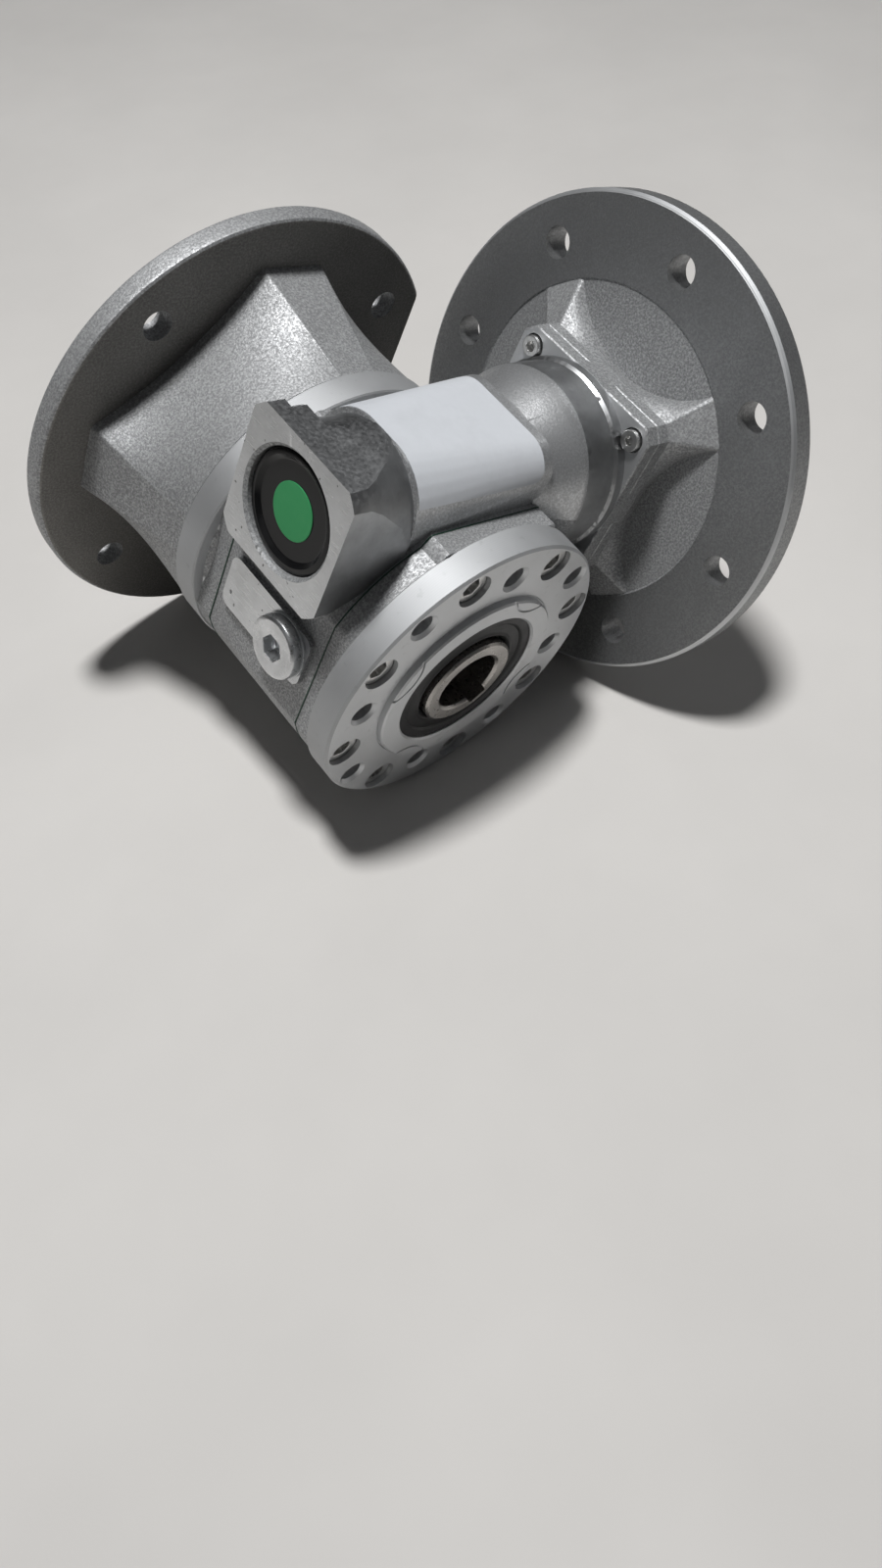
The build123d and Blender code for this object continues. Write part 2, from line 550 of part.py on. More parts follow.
def near_output_seal():
    face = COVER_FACE + SPIGOT_H - SEAL_SINK
    return turned_y([(r, -face + y) for r, y in seal_profile(OUTPUT_SEAL[0], SHAFT_R, OUTPUT_SEAL[1])])


def input_seal():
    face = SEAT_X + SEAT_T - MOTOR_REGISTER_H - 0.2
    profile = seal_profile(INPUT_SEAL[0], INPUT_BEARING[0], INPUT_SEAL[1])
    return turned_x([(face - along, r) for r, along in profile])


def circlip(x, inner, outer, thickness, gap):
    """Open retaining ring across the worm axis, its gap downwards."""
    ring = disc_x(outer, x, x + thickness) - disc_x(inner, x, x + thickness)
    return ring - at_worm(Pos(x, 0, -outer) * Box(4 * thickness, gap, 2 * outer))


def end_cap():
    face = CAP_FACE_X + CAP_SINK
    bore = CAP_BEARING[1]
    inside = bore - CAP_WALL
    return turned_x([(face, 0), (face, bore - 3.0), (face - 0.9, bore - 2.0), (face - 0.9, bore - 0.9),
                     (face, bore), (face + CAP_DEPTH, bore), (face + CAP_DEPTH, inside),
                     (face + CAP_WALL, inside), (face + CAP_WALL, 0)])


def cap_disc():
    face = CAP_FACE_X + CAP_SINK
    return disc_x(CAP_DISC_R, face - CAP_DISC_T, face)


def oil_plug():
    seat = -SIDE_FLAT_X - PAD_T - WASHER_T
    head = extrude(Plane.YZ.offset(seat - PLUG_HEAD_T) * Circle(PLUG_HEAD_R), PLUG_HEAD_T)
    head = chamfer(head.faces().sort_by(Axis.X)[0].edges(), 0.9)
    head += extrude(Plane.YZ.offset(seat) * Circle(PLUG_THREAD_R), PLUG_THREAD_L)
    hexagon = Plane.YZ.offset(seat - PLUG_HEAD_T - 1) * RegularPolygon(PLUG_SOCKET / sqrt(3), 6)
    return Pos(0, PLUG_Y, PLUG_Z) * (head - extrude(hexagon, 5.0))


def plug_washer():
    ring = Circle(PLUG_HEAD_R + 0.3) - Circle(PLUG_THREAD_R)
    seat = -SIDE_FLAT_X - PAD_T - WASHER_T
    return Pos(0, PLUG_Y, PLUG_Z) * extrude(Plane.YZ.offset(seat) * ring, WASHER_T)


def far(shape):
    """The same piece on the far side of the housing."""
    if isinstance(shape, list):
        return [far(piece) for piece in shape]
    return mirror(shape, about=Plane.XZ)


def all_nodes():
    nodes = {
        "housing": housing(),
        "near_cover": near_cover(),
        "near_cover_gasket": near_cover_gasket(),
        "near_cover_screws": near_cover_screws(),
        "near_output_seal": near_output_seal(),
    }
    for name in list(nodes)[1:]:
        nodes[name.replace("near", "far")] = far(nodes[name])
    nodes |= {
        "output_flange": output_flange(),
        "output_flange_screws": output_flange_screws(),
        "motor_flange": motor_flange(),
        "motor_flange_screws": motor_flange_screws(),
        "output_shaft": output_shaft(),
        "wheel_hub": wheel_hub(),
        "wheel_rim": wheel_rim(),
        "wheel_key": wheel_key(),
        "worm_shaft": worm_shaft(),
        "input_seal": input_seal(),
        "worm_circlip": circlip(WORM_BEARING_RIGHT_X + INPUT_BEARING[2], INPUT_BEARING[1] - 2.2,
                                INPUT_BEARING[1] + BORE_CLIP_GROOVE, CIRCLIP_T, 9.0),
        "worm_end_circlip": circlip(WORM_BEARING_LEFT_X - SHAFT_CLIP_T, CAP_BEARING[0] - CLIP_GROOVE,
                                    CAP_BEARING[0] + 2.2, SHAFT_CLIP_T, 6.0),
        "end_cap": end_cap(),
        "cap_disc": cap_disc(),
        "oil_plug": oil_plug(),
        "plug_washer": plug_washer(),
    }
    bearings = {
        "near_bearing": (OUTPUT_BEARING, Pos(0, -BEARING_FRONT, 0) * Rot(90, 0, 0)),
        "far_bearing": (OUTPUT_BEARING, Pos(0, BEARING_FRONT, 0) * Rot(-90, 0, 0)),
        "cap_bearing": (CAP_BEARING, Pos(WORM_BEARING_LEFT_X, 0, CENTRE) * Rot(0, 90, 0)),
        "motor_bearing": (INPUT_BEARING, Pos(WORM_BEARING_RIGHT_X, 0, CENTRE) * Rot(0, 90, 0)),
    }
    for name, (size, place) in bearings.items():
        for piece, shape in bearing(size).items():
            nodes[f"{name}_{piece}"] = placed(place, shape)
    return nodes


def main():
    os.makedirs("parts", exist_ok=True)
    for name, shape in all_nodes().items():
        solids = shape if isinstance(shape, list) else shape.solids()
        pieces = [solid for item in solids for solid in item.solids()]
        export_step(Compound(children=pieces) if len(pieces) > 1 else pieces[0], f"parts/{name}.step")


main()
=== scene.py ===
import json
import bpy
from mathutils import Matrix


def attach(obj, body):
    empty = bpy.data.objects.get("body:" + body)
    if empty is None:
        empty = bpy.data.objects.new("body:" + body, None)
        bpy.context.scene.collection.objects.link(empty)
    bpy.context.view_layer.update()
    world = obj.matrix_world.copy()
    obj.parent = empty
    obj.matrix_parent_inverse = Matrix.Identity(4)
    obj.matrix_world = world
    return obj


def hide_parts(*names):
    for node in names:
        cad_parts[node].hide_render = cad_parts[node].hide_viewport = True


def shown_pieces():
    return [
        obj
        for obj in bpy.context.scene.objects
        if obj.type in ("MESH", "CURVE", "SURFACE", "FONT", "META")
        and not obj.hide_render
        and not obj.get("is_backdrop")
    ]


bl_info = {
    "name": "Worm gearbox",
    "version": (1, 0, 0),
    "blender": (4, 5, 0),
    "location": "View3D > Sidebar > Gearbox",
    "description": "Dresses the packed worm gearbox with castings, screws, seals, a label and a stage",
    "category": "Object",
}

from math import acos, atan2, cos, hypot, pi, radians, sin, sqrt

import bmesh
import bpy
from bpy.props import FloatProperty, FloatVectorProperty, IntProperty, PointerProperty
from mathutils import Matrix, Vector
from mathutils.bvhtree import BVHTree

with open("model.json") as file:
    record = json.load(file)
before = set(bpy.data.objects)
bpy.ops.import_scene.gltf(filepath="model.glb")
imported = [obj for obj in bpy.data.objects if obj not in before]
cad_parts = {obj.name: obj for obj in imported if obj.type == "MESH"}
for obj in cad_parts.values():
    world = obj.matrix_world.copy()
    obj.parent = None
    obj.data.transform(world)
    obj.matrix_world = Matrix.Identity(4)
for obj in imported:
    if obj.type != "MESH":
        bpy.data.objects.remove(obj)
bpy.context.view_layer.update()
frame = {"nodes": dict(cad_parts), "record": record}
SLOTS = {part["node"]: part["material_slot"] for part in frame["record"]["subparts"]}

# Places and sizes in millimetres, from the output axis and the middle plane
MM = 0.001
ROUND = 160
WORM_Z = 40.0
CASTING_HALF = 21.25
COVER_BACK = 21.55
COVER_FACE = 37.3
RIM_BACK = 28.0
SPIGOT_TOP = 39.3
PILOT_RADIUS = 37.0
INPUT_GAP = 0.8
HUMP_TOP = 44.0
HUMP_HALF = 21.0
SIDE_FLAT = 42.6
CAP_FACE = -50.3
CAP_STEP = -45.0
CAP_NECK = -40.5
CAP_END = -26.6
CAP_CORNERS = (26.0, 24.2)
CAP_HALF = 20.1
CAP_BOSS = 20.7
SEAT_X = 49.0
SEAT_END = 54.0
SEAT_EDGE = 0.4
SEAT_BULGE = 27.4
BASE_END = 58.8
MOTOR_PLATE = (66.2, 75.1)
MOTOR_SCREW_SEAT = 51.4
SCREW_OFFSET = 21.4
MOTOR_SCREWS = [(a, b) for a in (-SCREW_OFFSET, SCREW_OFFSET) for b in (-SCREW_OFFSET, SCREW_OFFSET)]
OUTPUT_PLATE = (72.7, 79.7)
OUTPUT_SCREW_SEAT = 46.3
OUTPUT_SCREW_CIRCLE = 37.5
COVER_SCREW_SEAT = 29.8
COVER_SCREW_CIRCLE = 41.1
COVER_FIRST_SCREW = 22.5
PLUG_SEAT = -45.0
PLUG_CENTRE = (-9.0, -39.2)
KEY_HALF = 3.0

# The photograph's viewpoint and the table it stands on
VIEW_RIGHT = Vector((0.70516, -0.61267, 0.35692))
VIEW_UP = Vector((0.32521, 0.72677, 0.60502))
VIEW_OUT = Vector((-0.63007, -0.31056, 0.71173))
CAMERA_PLACE = Vector((-224.66, -159.41, 216.93))
TABLE_NORMAL = Vector((-0.33, 0.20, 0.92)).normalized()
TABLE_HALF = 3.0


def length(name, description, default, **limits):
    """A size that a user may change."""
    description += ", in millimetres"
    return FloatProperty(name=name, description=description, default=default, **limits)


def tint(name, description, default):
    """A colour that a user may change."""
    return FloatVectorProperty(name=name, description=description, subtype="COLOR", default=default)


class GearboxSizes(bpy.types.PropertyGroup):
    flange_radius: length("Flange radius", "Outer radius of both flanges", 70.0, min=50.0)
    bolt_circle: length("Bolt circle radius", "Radius of the flange holes' circle", 57.5, min=40.0)
    bolt_hole: length("Bolt hole radius", "Radius of a flange hole", 4.5, min=2.0)
    rim_radius: length("Cover rim radius", "Radius of the turned cover rims", 47.4, min=40.0)
    cast_radius: length("Casting radius", "Radius of the round middle casting", 46.5, min=40.0)
    cover_screws: IntProperty(name="Cover screws", description="Screws in each cover", default=8, min=3)
    label_start: length("Label start", "Where the label begins along the worm", -26.2)
    label_end: length("Label end", "Where the label ends along the worm", 17.6)


class GearboxColours(bpy.types.PropertyGroup):
    cast: tint("Casting", "Colour of the cast aluminium", (0.315, 0.32, 0.325))
    turned: tint("Machined", "Colour of turned and milled aluminium", (0.62, 0.63, 0.64))
    steel: tint("Steel", "Colour of the shafts", (0.42, 0.40, 0.38))
    zinc: tint("Screws", "Colour of the zinc screws", (0.62, 0.62, 0.61))
    rubber: tint("Rubber", "Colour of the seals and end cap", (0.012, 0.012, 0.013))
    sealant: tint("Sealant", "Colour of the sealing compound", (0.012, 0.05, 0.03))
    disc: tint("Disc", "Colour of the disc on the end cap", (0.035, 0.29, 0.10))
    paper: tint("Label", "Colour of the blank label", (0.56, 0.58, 0.61))
    floor: tint("Floor", "Colour of the table", (0.60, 0.585, 0.565))


class Value:
    """A number on a shader socket: expressions on it add Math nodes."""

    def __init__(self, surface, socket):
        self.surface = surface
        self.socket = socket

    def math(self, operation, *values):
        node = self.surface.node("ShaderNodeMath", {"operation": operation}, dict(enumerate(values)))
        return Value(self.surface, node.outputs[0])

    def __add__(self, other):
        return self.math("ADD", self, other)

    def __mul__(self, other):
        return self.math("MULTIPLY", self, other)

    def __sub__(self, other):
        return self.math("SUBTRACT", self, other)

    def __rsub__(self, other):
        return self.math("SUBTRACT", other, self)

    def __pow__(self, other):
        return self.math("POWER", self, other)

    def __rpow__(self, other):
        return self.math("POWER", other, self)

    __radd__ = __add__
    __rmul__ = __mul__

    def sine(self):
        return self.math("SINE", self)


def add_node(tree, kind, settings=None, inputs=None):
    """Adds a node: its settings first, then values or links for its sockets by name or number."""
    node = tree.nodes.new(kind)
    for key, value in (settings or {}).items():
        setattr(node, key, value)
    for key, value in (inputs or {}).items():
        source = value.socket if isinstance(value, Value) else value
        if isinstance(source, bpy.types.NodeSocket):
            tree.links.new(source, node.inputs[key])
        else:
            node.inputs[key].default_value = source
    return node


def spaced(inputs):
    """Socket names written as Python names, with their spaces put back."""
    return {key.replace("_", " "): value for key, value in inputs.items()}


class Surface:
    """A material under construction."""

    def __init__(self, name, **fixed):
        self.material = bpy.data.materials.new(name)
        self.material.use_nodes = True
        self.tree = self.material.node_tree
        self.tree.nodes.clear()
        self.output = self.node("ShaderNodeOutputMaterial")
        self.shader = self.node("ShaderNodeBsdfPrincipled", None, spaced(fixed))
        self.link(self.shader.outputs[0], self.output.inputs["Surface"])
        self.place = self.node("ShaderNodeTexCoord").outputs["Object"]

    def link(self, source, socket):
        self.tree.links.new(source.socket if isinstance(source, Value) else source, socket)

    def node(self, kind, settings=None, inputs=None):
        return add_node(self.tree, kind, settings, inputs)

    def noise(self, scale, detail=2.0, roughness=0.5, stretch=None):
        place = self.place
        if stretch:
            place = self.node("ShaderNodeMapping", None, {"Vector": place, "Scale": stretch}).outputs[0]
        inputs = {"Vector": place, "Scale": scale, "Detail": detail, "Roughness": roughness}
        return Value(self, self.node("ShaderNodeTexNoise", None, inputs).outputs[0])

    def remap(self, value, low, high, to_low=0.0, to_high=1.0):
        inputs = {"Value": value, "From Min": low, "From Max": high, "To Min": to_low, "To Max": to_high}
        return Value(self, self.node("ShaderNodeMapRange", {"clamp": True}, inputs).outputs[0])

    def mix(self, factor, *pair):
        first, second = (c if isinstance(c, bpy.types.NodeSocket) else (*c[:3], 1.0) for c in pair)
        inputs = {0: factor, 6: first, 7: second}
        return self.node("ShaderNodeMix", {"data_type": "RGBA"}, inputs).outputs[2]

    def feed(self, name, value):
        self.link(value, self.shader.inputs[name])

    def finished(self, colour, roughness, normal):
        self.feed("Base Color", colour)
        self.feed("Roughness", roughness)
        self.feed("Normal", normal)
        return self.material

    def bump(self, height, distance, strength=1.0, normal=None):
        inputs = {"Height": height, "Distance": distance, "Strength": strength}
        if normal:
            inputs["Normal"] = normal
        return self.node("ShaderNodeBump", None, inputs).outputs[0]


def shade(colour, factor):
    """A colour made darker or lighter by a factor."""
    return [min(1.0, channel * factor) for channel in colour]


def cast_aluminium(name, colour, contrast, roughness, relief, metallic=0.9):
    """Blasted die casting: dull grey skin with fine sparkling grain and faint stains."""
    s = Surface(name, Metallic=metallic, Roughness=roughness)
    fine = s.noise(1500.0, 3.0, 0.7)
    soft = s.noise(70.0, 4.0, 0.6)
    grain = s.remap(fine, 0.36, 0.64)
    tone = s.mix(s.remap(soft, 0.35, 0.65), shade(colour, 0.94), shade(colour, 1.05))
    tone = s.mix(s.remap(grain, 0.0, 0.5, contrast, 0.0), tone, shade(colour, 0.5))
    tone = s.mix(s.remap(grain, 0.5, 1.0, 0.0, contrast), tone, shade(colour, 1.9))
    dull = s.remap(grain + soft * 0.5, 0.2, 1.2, roughness + 0.08, roughness - 0.1)
    return s.finished(tone, dull, s.bump(fine, relief, 0.9, s.bump(soft, 0.0003, 0.2)))


def turned_aluminium(name, colour, axis, roughness=0.53):
    """Machined aluminium with fine tool rings round an axis, "X" for the worm or "Y" for the output."""
    s = Surface(name, Metallic=0.94, Roughness=roughness)
    split = s.node("ShaderNodeSeparateXYZ", None, {0: s.place})
    x, y, z = (Value(s, socket) for socket in split.outputs)
    across, down_axis = (y, x) if axis == "X" else (x, y)
    up = z - WORM_Z * MM if axis == "X" else z
    radius = (across * across + up * up) ** 0.5
    rings = ((radius + down_axis) * (2 * pi / 0.0006)).sine()
    uneven = s.noise(45.0, 3.0, 0.5)
    scratch = s.noise(420.0, 2.0, 0.5)
    tone = s.mix(s.remap(uneven, 0.35, 0.68), shade(colour, 0.93), shade(colour, 1.05))
    tone = s.mix(s.remap(scratch, 0.64, 0.78, 0.0, 0.3), tone, shade(colour, 0.62))
    dull = s.remap(uneven, 0.3, 0.7, roughness - 0.05, roughness + 0.04) + rings * 0.02
    return s.finished(tone, dull, s.bump(rings, 0.000008, 0.5, s.bump(scratch, 0.00002, 0.4)))


def milled_aluminium(name, colour):
    """Flat milled faces: pale, with a few casting pores."""
    s = Surface(name, Metallic=0.9, Roughness=0.32)
    uneven = s.noise(60.0, 4.0, 0.6)
    lines = s.noise(260.0, 3.0, 0.5, (1.0, 1.0, 9.0))
    pores = s.remap(s.noise(420.0, 2.0, 0.4), 0.70, 0.74)
    tone = s.mix(s.remap(uneven, 0.3, 0.7), shade(colour, 0.86), shade(colour, 1.12))
    tone = s.mix(pores, tone, shade(colour, 0.25))
    return s.finished(tone, s.remap(lines, 0.3, 0.7, 0.24, 0.42), s.bump(lines, 0.00003, 0.5))


def plain_metal(name, colour, roughness):
    """Smooth metal with a faint uneven tone."""
    s = Surface(name, Metallic=1.0, Roughness=roughness)
    fine = s.noise(900.0, 3.0, 0.55)
    soft = s.noise(120.0, 3.0, 0.5)
    tone = s.mix(s.remap(soft, 0.3, 0.7), shade(colour, 0.8), shade(colour, 1.15))
    dull = s.remap(fine, 0.3, 0.7, roughness * 0.8, roughness * 1.3)
    return s.finished(tone, dull, s.bump(fine, 0.00004, 0.5))


def moulded(name, colour, roughness, relief=0.00004, gloss=0.5):
    """Rubber, plastic or paint with a fine skin and faint dust."""
    s = Surface(name, Metallic=0.0, Roughness=roughness, Specular_IOR_Level=gloss)
    fine = s.noise(1100.0, 2.0, 0.5)
    dust = s.noise(160.0, 5.0, 0.65)
    dusty = [channel * 0.9 + 0.02 for channel in colour]
    tone = s.mix(s.remap(dust, 0.5, 0.8, 0.0, 0.25), colour, dusty)
    dull = s.remap(dust, 0.3, 0.75, roughness * 0.85, min(1.0, roughness * 1.25))
    return s.finished(tone, dull, s.bump(fine, relief, 0.5))


def label_paper(name, colour):
    """Slightly stained sticker paper."""
    s = Surface(name, Metallic=0.0, Roughness=0.42)
    fibre = s.noise(900.0, 4.0, 0.6)
    stain = s.noise(75.0, 5.0, 0.6)
    tone = s.mix(s.remap(stain, 0.48, 0.75, 0.0, 0.5), colour, shade(colour, 0.82))
    tone = s.mix(s.remap(fibre, 0.4, 0.8, 0.0, 0.2), tone, shade(colour, 0.9))
    dull = s.remap(stain, 0.3, 0.7, 0.36, 0.55)
    return s.finished(tone, dull, s.bump(fibre, 0.00003, 0.4, s.bump(stain, 0.0002, 0.25)))


FINISHES = {}


def make_finishes(colours):
    """Every material, by name."""
    FINISHES.update({
        "cast": cast_aluminium("cast_aluminium", colours.cast, 0.55, 0.56, 0.00013, 0.5),
        "skimmed": cast_aluminium("skimmed_casting", shade(colours.cast, 0.95), 0.3, 0.52, 0.00007),
        # Painted shade: a darker, browner casting for the output plate's face turned away from the key lamp
        "dull": cast_aluminium("plate_shade_casting", (0.2, 0.195, 0.185), 0.25, 0.56, 0.00007),
        # Painted highlight: a finer, smoother casting painted half again lighter, for the upper faces of the
        # barrel and flare
        "fine": cast_aluminium("fine_highlit_casting", shade(colours.cast, 1.5), 0.3, 0.38, 0.00006, 0.75),
        "smooth": plain_metal("smooth_casting", shade(colours.cast, 1.2), 0.38),
        "turned_y": turned_aluminium("turned_about_output", colours.turned, "Y"),
        "turned_x": turned_aluminium("turned_about_worm", colours.turned, "X"),
        "rim": turned_aluminium("turned_rim", shade(colours.turned, 0.8), "Y", 0.68),
        "milled": milled_aluminium("milled_aluminium", shade(colours.turned, 1.06)),
        "steel": plain_metal("ground_steel", colours.steel, 0.3),
        "zinc": plain_metal("zinc_screws", colours.zinc, 0.32),
        "spring": plain_metal("spring_steel", (0.08, 0.08, 0.085), 0.4),
        "iron": plain_metal("machined_iron", (0.2, 0.2, 0.2), 0.5),
        "bronze": plain_metal("wheel_bronze", (0.55, 0.32, 0.12), 0.35),
        "race": plain_metal("bearing_steel", (0.7, 0.7, 0.71), 0.12),
        "cage": plain_metal("pressed_cage", (0.5, 0.5, 0.5), 0.35),
        "plug": plain_metal("plug_aluminium", (0.7, 0.71, 0.72), 0.3),
        "rubber": moulded("black_rubber", shade(colours.rubber, 0.8), 0.4, 0.00003, 0.3),
        "cap": moulded("black_cap", shade(colours.rubber, 0.5), 0.18, 0.00001, 0.3),
        "sealant": moulded("green_sealant", tuple(colours.sealant), 0.4),
        "disc": moulded("green_disc", tuple(colours.disc), 0.62),
        "paper": label_paper("label_paper", tuple(colours.paper)),
    })


def link_object(name, mesh):
    obj = bpy.data.objects.new(name, mesh)
    bpy.context.scene.collection.objects.link(obj)
    return obj


def mesh_object(name, vertices, faces):
    """A closed mesh from points in millimetres, its faces turned outwards."""
    mesh = bpy.data.meshes.new(name)
    mesh.from_pydata([Vector(v) * MM for v in vertices], [], faces)
    bm = bmesh.new()
    bm.from_mesh(mesh)
    bmesh.ops.remove_doubles(bm, verts=bm.verts, dist=1e-7)
    bmesh.ops.recalc_face_normals(bm, faces=bm.faces)
    bm.to_mesh(mesh)
    bm.free()
    return link_object(name, mesh)


def tube_of_rings(name, rings):
    """Skin over rings with the same number of points each, closed by a face at either end."""
    count = len(rings[0])
    vertices = [point for ring in rings for point in ring]
    faces = [list(range(count)), [len(vertices) - 1 - k for k in range(count)]]
    for base in range(0, count * (len(rings) - 1), count):
        sides = [(base + k, base + (k + 1) % count) for k in range(count)]
        faces += [[a, b, b + count, a + count] for a, b in sides]
    return mesh_object(name, vertices, faces)


def along(axis, a, b, position):
    """The point at a position on an axis. Across it lie y and height over the worm, or x and z."""
    return (position, a, WORM_Z + b) if axis == "X" else (a, position, b)


def skin(name, axis, sections):
    """Skin over (position, outline) sections along an axis."""
    rings = [[along(axis, a, b, place) for a, b in outline] for place, outline in sections]
    return tube_of_rings(name, rings)


def prism(name, outline, axis, start, end):
    return skin(name, axis, [(start, outline), (end, outline)])


def steps_round(count):
    return [2 * pi * (k + 0.5) / count for k in range(count)]


def circle(radius, centre=(0.0, 0.0), count=ROUND):
    return [(centre[0] + radius * cos(t), centre[1] + radius * sin(t)) for t in steps_round(count)]


def rod(name, axis, radius, start, end, centre=(0.0, 0.0), count=48):
    return prism(name, circle(radius, centre, count), axis, start, end)


def turning(name, axis, profile, count=ROUND):
    """Solid of revolution from a closed (position, radius) profile. Radius 0 closes on the axis."""
    vertices = [along(axis, radius * cos(t), radius * sin(t), p)
                for t in steps_round(count) for p, radius in profile]
    size = len(profile)
    faces = []
    for k in range(count):
        here, after = k * size, (k + 1) % count * size
        for j in range(size):
            j2 = (j + 1) % size
            if profile[j][1] == 0 and profile[j2][1] == 0:
                continue
            face = [here + j, here + j2, after + j2, after + j]
            if profile[j][1] == 0:
                face.remove(after + j)
            if profile[j2][1] == 0:
                face.remove(after + j2)
            faces.append(face)
    return mesh_object(name, vertices, faces)


def rounded(corner, before, after, radius, steps=4):
    """Points that round off one corner of an outline."""
    c = Vector(corner)
    to_before = (Vector(before) - c).normalized()
    to_after = (Vector(after) - c).normalized()
    angle = to_before.angle(to_after)
    reach = radius / sqrt((1 - cos(angle)) / (1 + cos(angle)))
    middle = c + (to_before + to_after).normalized() * (radius / sin(angle / 2))
    start = c + to_before * reach - middle
    end = c + to_after * reach - middle
    spokes = [start.lerp(end, k / steps).normalized() for k in range(steps + 1)]
    return [tuple(middle + spoke * radius) for spoke in spokes]


def round_corners(outline, radii, steps=4):
    """Closed outline with its corners rounded by the radii given in order, 0 leaving a corner sharp."""
    points = []
    for k, corner in enumerate(outline):
        if radii[k] == 0:
            points.append(corner)
        else:
            points += rounded(corner, outline[k - 1], outline[(k + 1) % len(outline)], radii[k], steps)
    return points


def change(body, operation, tool):
    """Adds or cuts a tool with a Boolean and removes the tool."""
    modifier = body.modifiers.new("boolean", "BOOLEAN")
    modifier.operation = operation
    modifier.solver = "EXACT"
    modifier.object = tool
    bake(body)
    mesh = tool.data
    bpy.data.objects.remove(tool)
    bpy.data.meshes.remove(mesh)


def bake(obj):
    """Turns an object's modifiers into its plain mesh."""
    bpy.context.view_layer.update()
    shaped = obj.evaluated_get(bpy.context.evaluated_depsgraph_get())
    mesh = bpy.data.meshes.new_from_object(shaped)
    old = obj.data
    obj.modifiers.clear()
    obj.data = mesh
    bpy.data.meshes.remove(old)
    mesh.name = obj.name


def add(body, tool):
    change(body, "UNION", tool)


def cut(body, tool):
    change(body, "DIFFERENCE", tool)


def soften(obj, width, segments=2, angle=32.0, miter="MITER_ARC"):
    """Rounds the edges sharper than an angle."""
    bevel = obj.modifiers.new("edges", "BEVEL")
    bevel.width = width * MM
    bevel.segments = segments
    bevel.limit_method = "ANGLE"
    bevel.angle_limit = radians(angle)
    bevel.use_clamp_overlap = True
    bevel.miter_outer = miter
    bake(obj)


def tidy_mesh(obj, smooth_angle=30.0):
    """Merges loose corners and smooths all but the edges over an angle, with the flat faces kept flat."""
    bm = bmesh.new()
    bm.from_mesh(obj.data)
    bmesh.ops.remove_doubles(bm, verts=bm.verts, dist=2e-6)
    bmesh.ops.dissolve_degenerate(bm, dist=1e-6, edges=bm.edges)
    for face in bm.faces:
        face.smooth = True
    bm.to_mesh(obj.data)
    bm.free()
    obj.data.set_sharp_from_angle(angle=radians(smooth_angle))
    weighted = obj.modifiers.new("flat faces", "WEIGHTED_NORMAL")
    weighted.keep_sharp = True
    weighted.weight = 80
    bake(obj)


def paint(obj, finishes, chooser):
    """Gives each face a finish by a chooser, from its middle in millimetres and its normal."""
    obj.data.materials.clear()
    for finish in finishes:
        obj.data.materials.append(FINISHES[finish])
    for face in obj.data.polygons:
        face.material_index = finishes.index(chooser(face.center / MM, face.normal))


def stands_for(obj, node):
    """The piece rides on the node's body and hides the node."""
    bodies = frame["record"]["behaviour"]["bodies"]
    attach(obj, next(name for name, members in bodies.items() if node in members))
    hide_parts(node)


def finish_piece(obj, node, finish, smooth_angle=30.0):
    """Smooths a piece of one finish and puts it in the node's place."""
    tidy_mesh(obj, smooth_angle)
    paint(obj, [finish], lambda c, n: finish)
    stands_for(obj, node)


def both_sides(name):
    """The piece's names on the near and the far side, each with its sign along the output axis."""
    return (("near_" + name, -1), ("far_" + name, 1))


def ring_places(radius, count, first):
    angles = [radians(first + 360.0 * k / count) for k in range(count)]
    return [(radius * cos(t), radius * sin(t)) for t in angles]


def cast_outline(radius, grow=0.0):
    """Outline of the middle casting: round, with flat sides and a flat hump under the worm barrel."""
    r = radius + grow
    flat = SIDE_FLAT + grow
    hump = HUMP_HALF + grow
    top = HUMP_TOP + grow
    flat_angle = acos(flat / r)
    hump_angle = acos(hump / r)
    arc = [flat_angle + (hump_angle - flat_angle) * k / 16 for k in range(17)]
    right = [(r * cos(t), r * sin(t)) for t in arc]
    right[-1] = (hump + 1.6, sqrt(r * r - (hump + 1.6) ** 2))
    upper = right + [(hump, top - 0.8), (hump - 0.8, top)]
    upper += [(-a, b) for a, b in reversed(upper)]
    low = [pi + flat_angle + (pi - 2 * flat_angle) * k / 80 for k in range(81)]
    return upper + [(r * cos(t), r * sin(t)) for t in low]


def rotated(outline, angle):
    return [(a * cos(angle) - b * sin(angle), a * sin(angle) + b * cos(angle)) for a, b in outline]


def lobed_ring(tip, half_width, waist, turn, corner=0.0, steps=28):
    """Outline with four flat tips joined by arcs that pass the waist halfway between the tips."""
    along_diagonal = (tip + half_width) / sqrt(2)
    across = (tip - half_width) / sqrt(2)
    centre = (along_diagonal**2 + across**2 - waist**2) / (2 * (along_diagonal - waist))
    sign = 1 if centre > waist else -1
    radius = abs(centre - waist)
    reach = atan2(across, sign * (centre - along_diagonal))
    points, radii = [], []
    for k in range(4):
        quarter = [(tip, 0.0)]
        for j in range(steps + 1):
            t = reach * (2 * j / steps - 1)
            d, p = centre - sign * radius * cos(t), radius * sin(t)
            quarter.append(((d - p) / sqrt(2), (d + p) / sqrt(2)))
        points += rotated(quarter, radians(turn + 90 * k))
        radii += [0.0, corner] + [0.0] * (steps - 1) + [corner]
    return round_corners(points, radii)


def blend_rings(first, second, t):
    return [(a[0] + (b[0] - a[0]) * t, a[1] + (b[1] - a[1]) * t) for a, b in zip(first, second)]


def lofted(first, second, start, end, steps):
    """Sections that blend one outline into another between two positions."""
    return [(start + (end - start) * k / steps, blend_rings(first, second, k / steps))
            for k in range(steps + 1)]


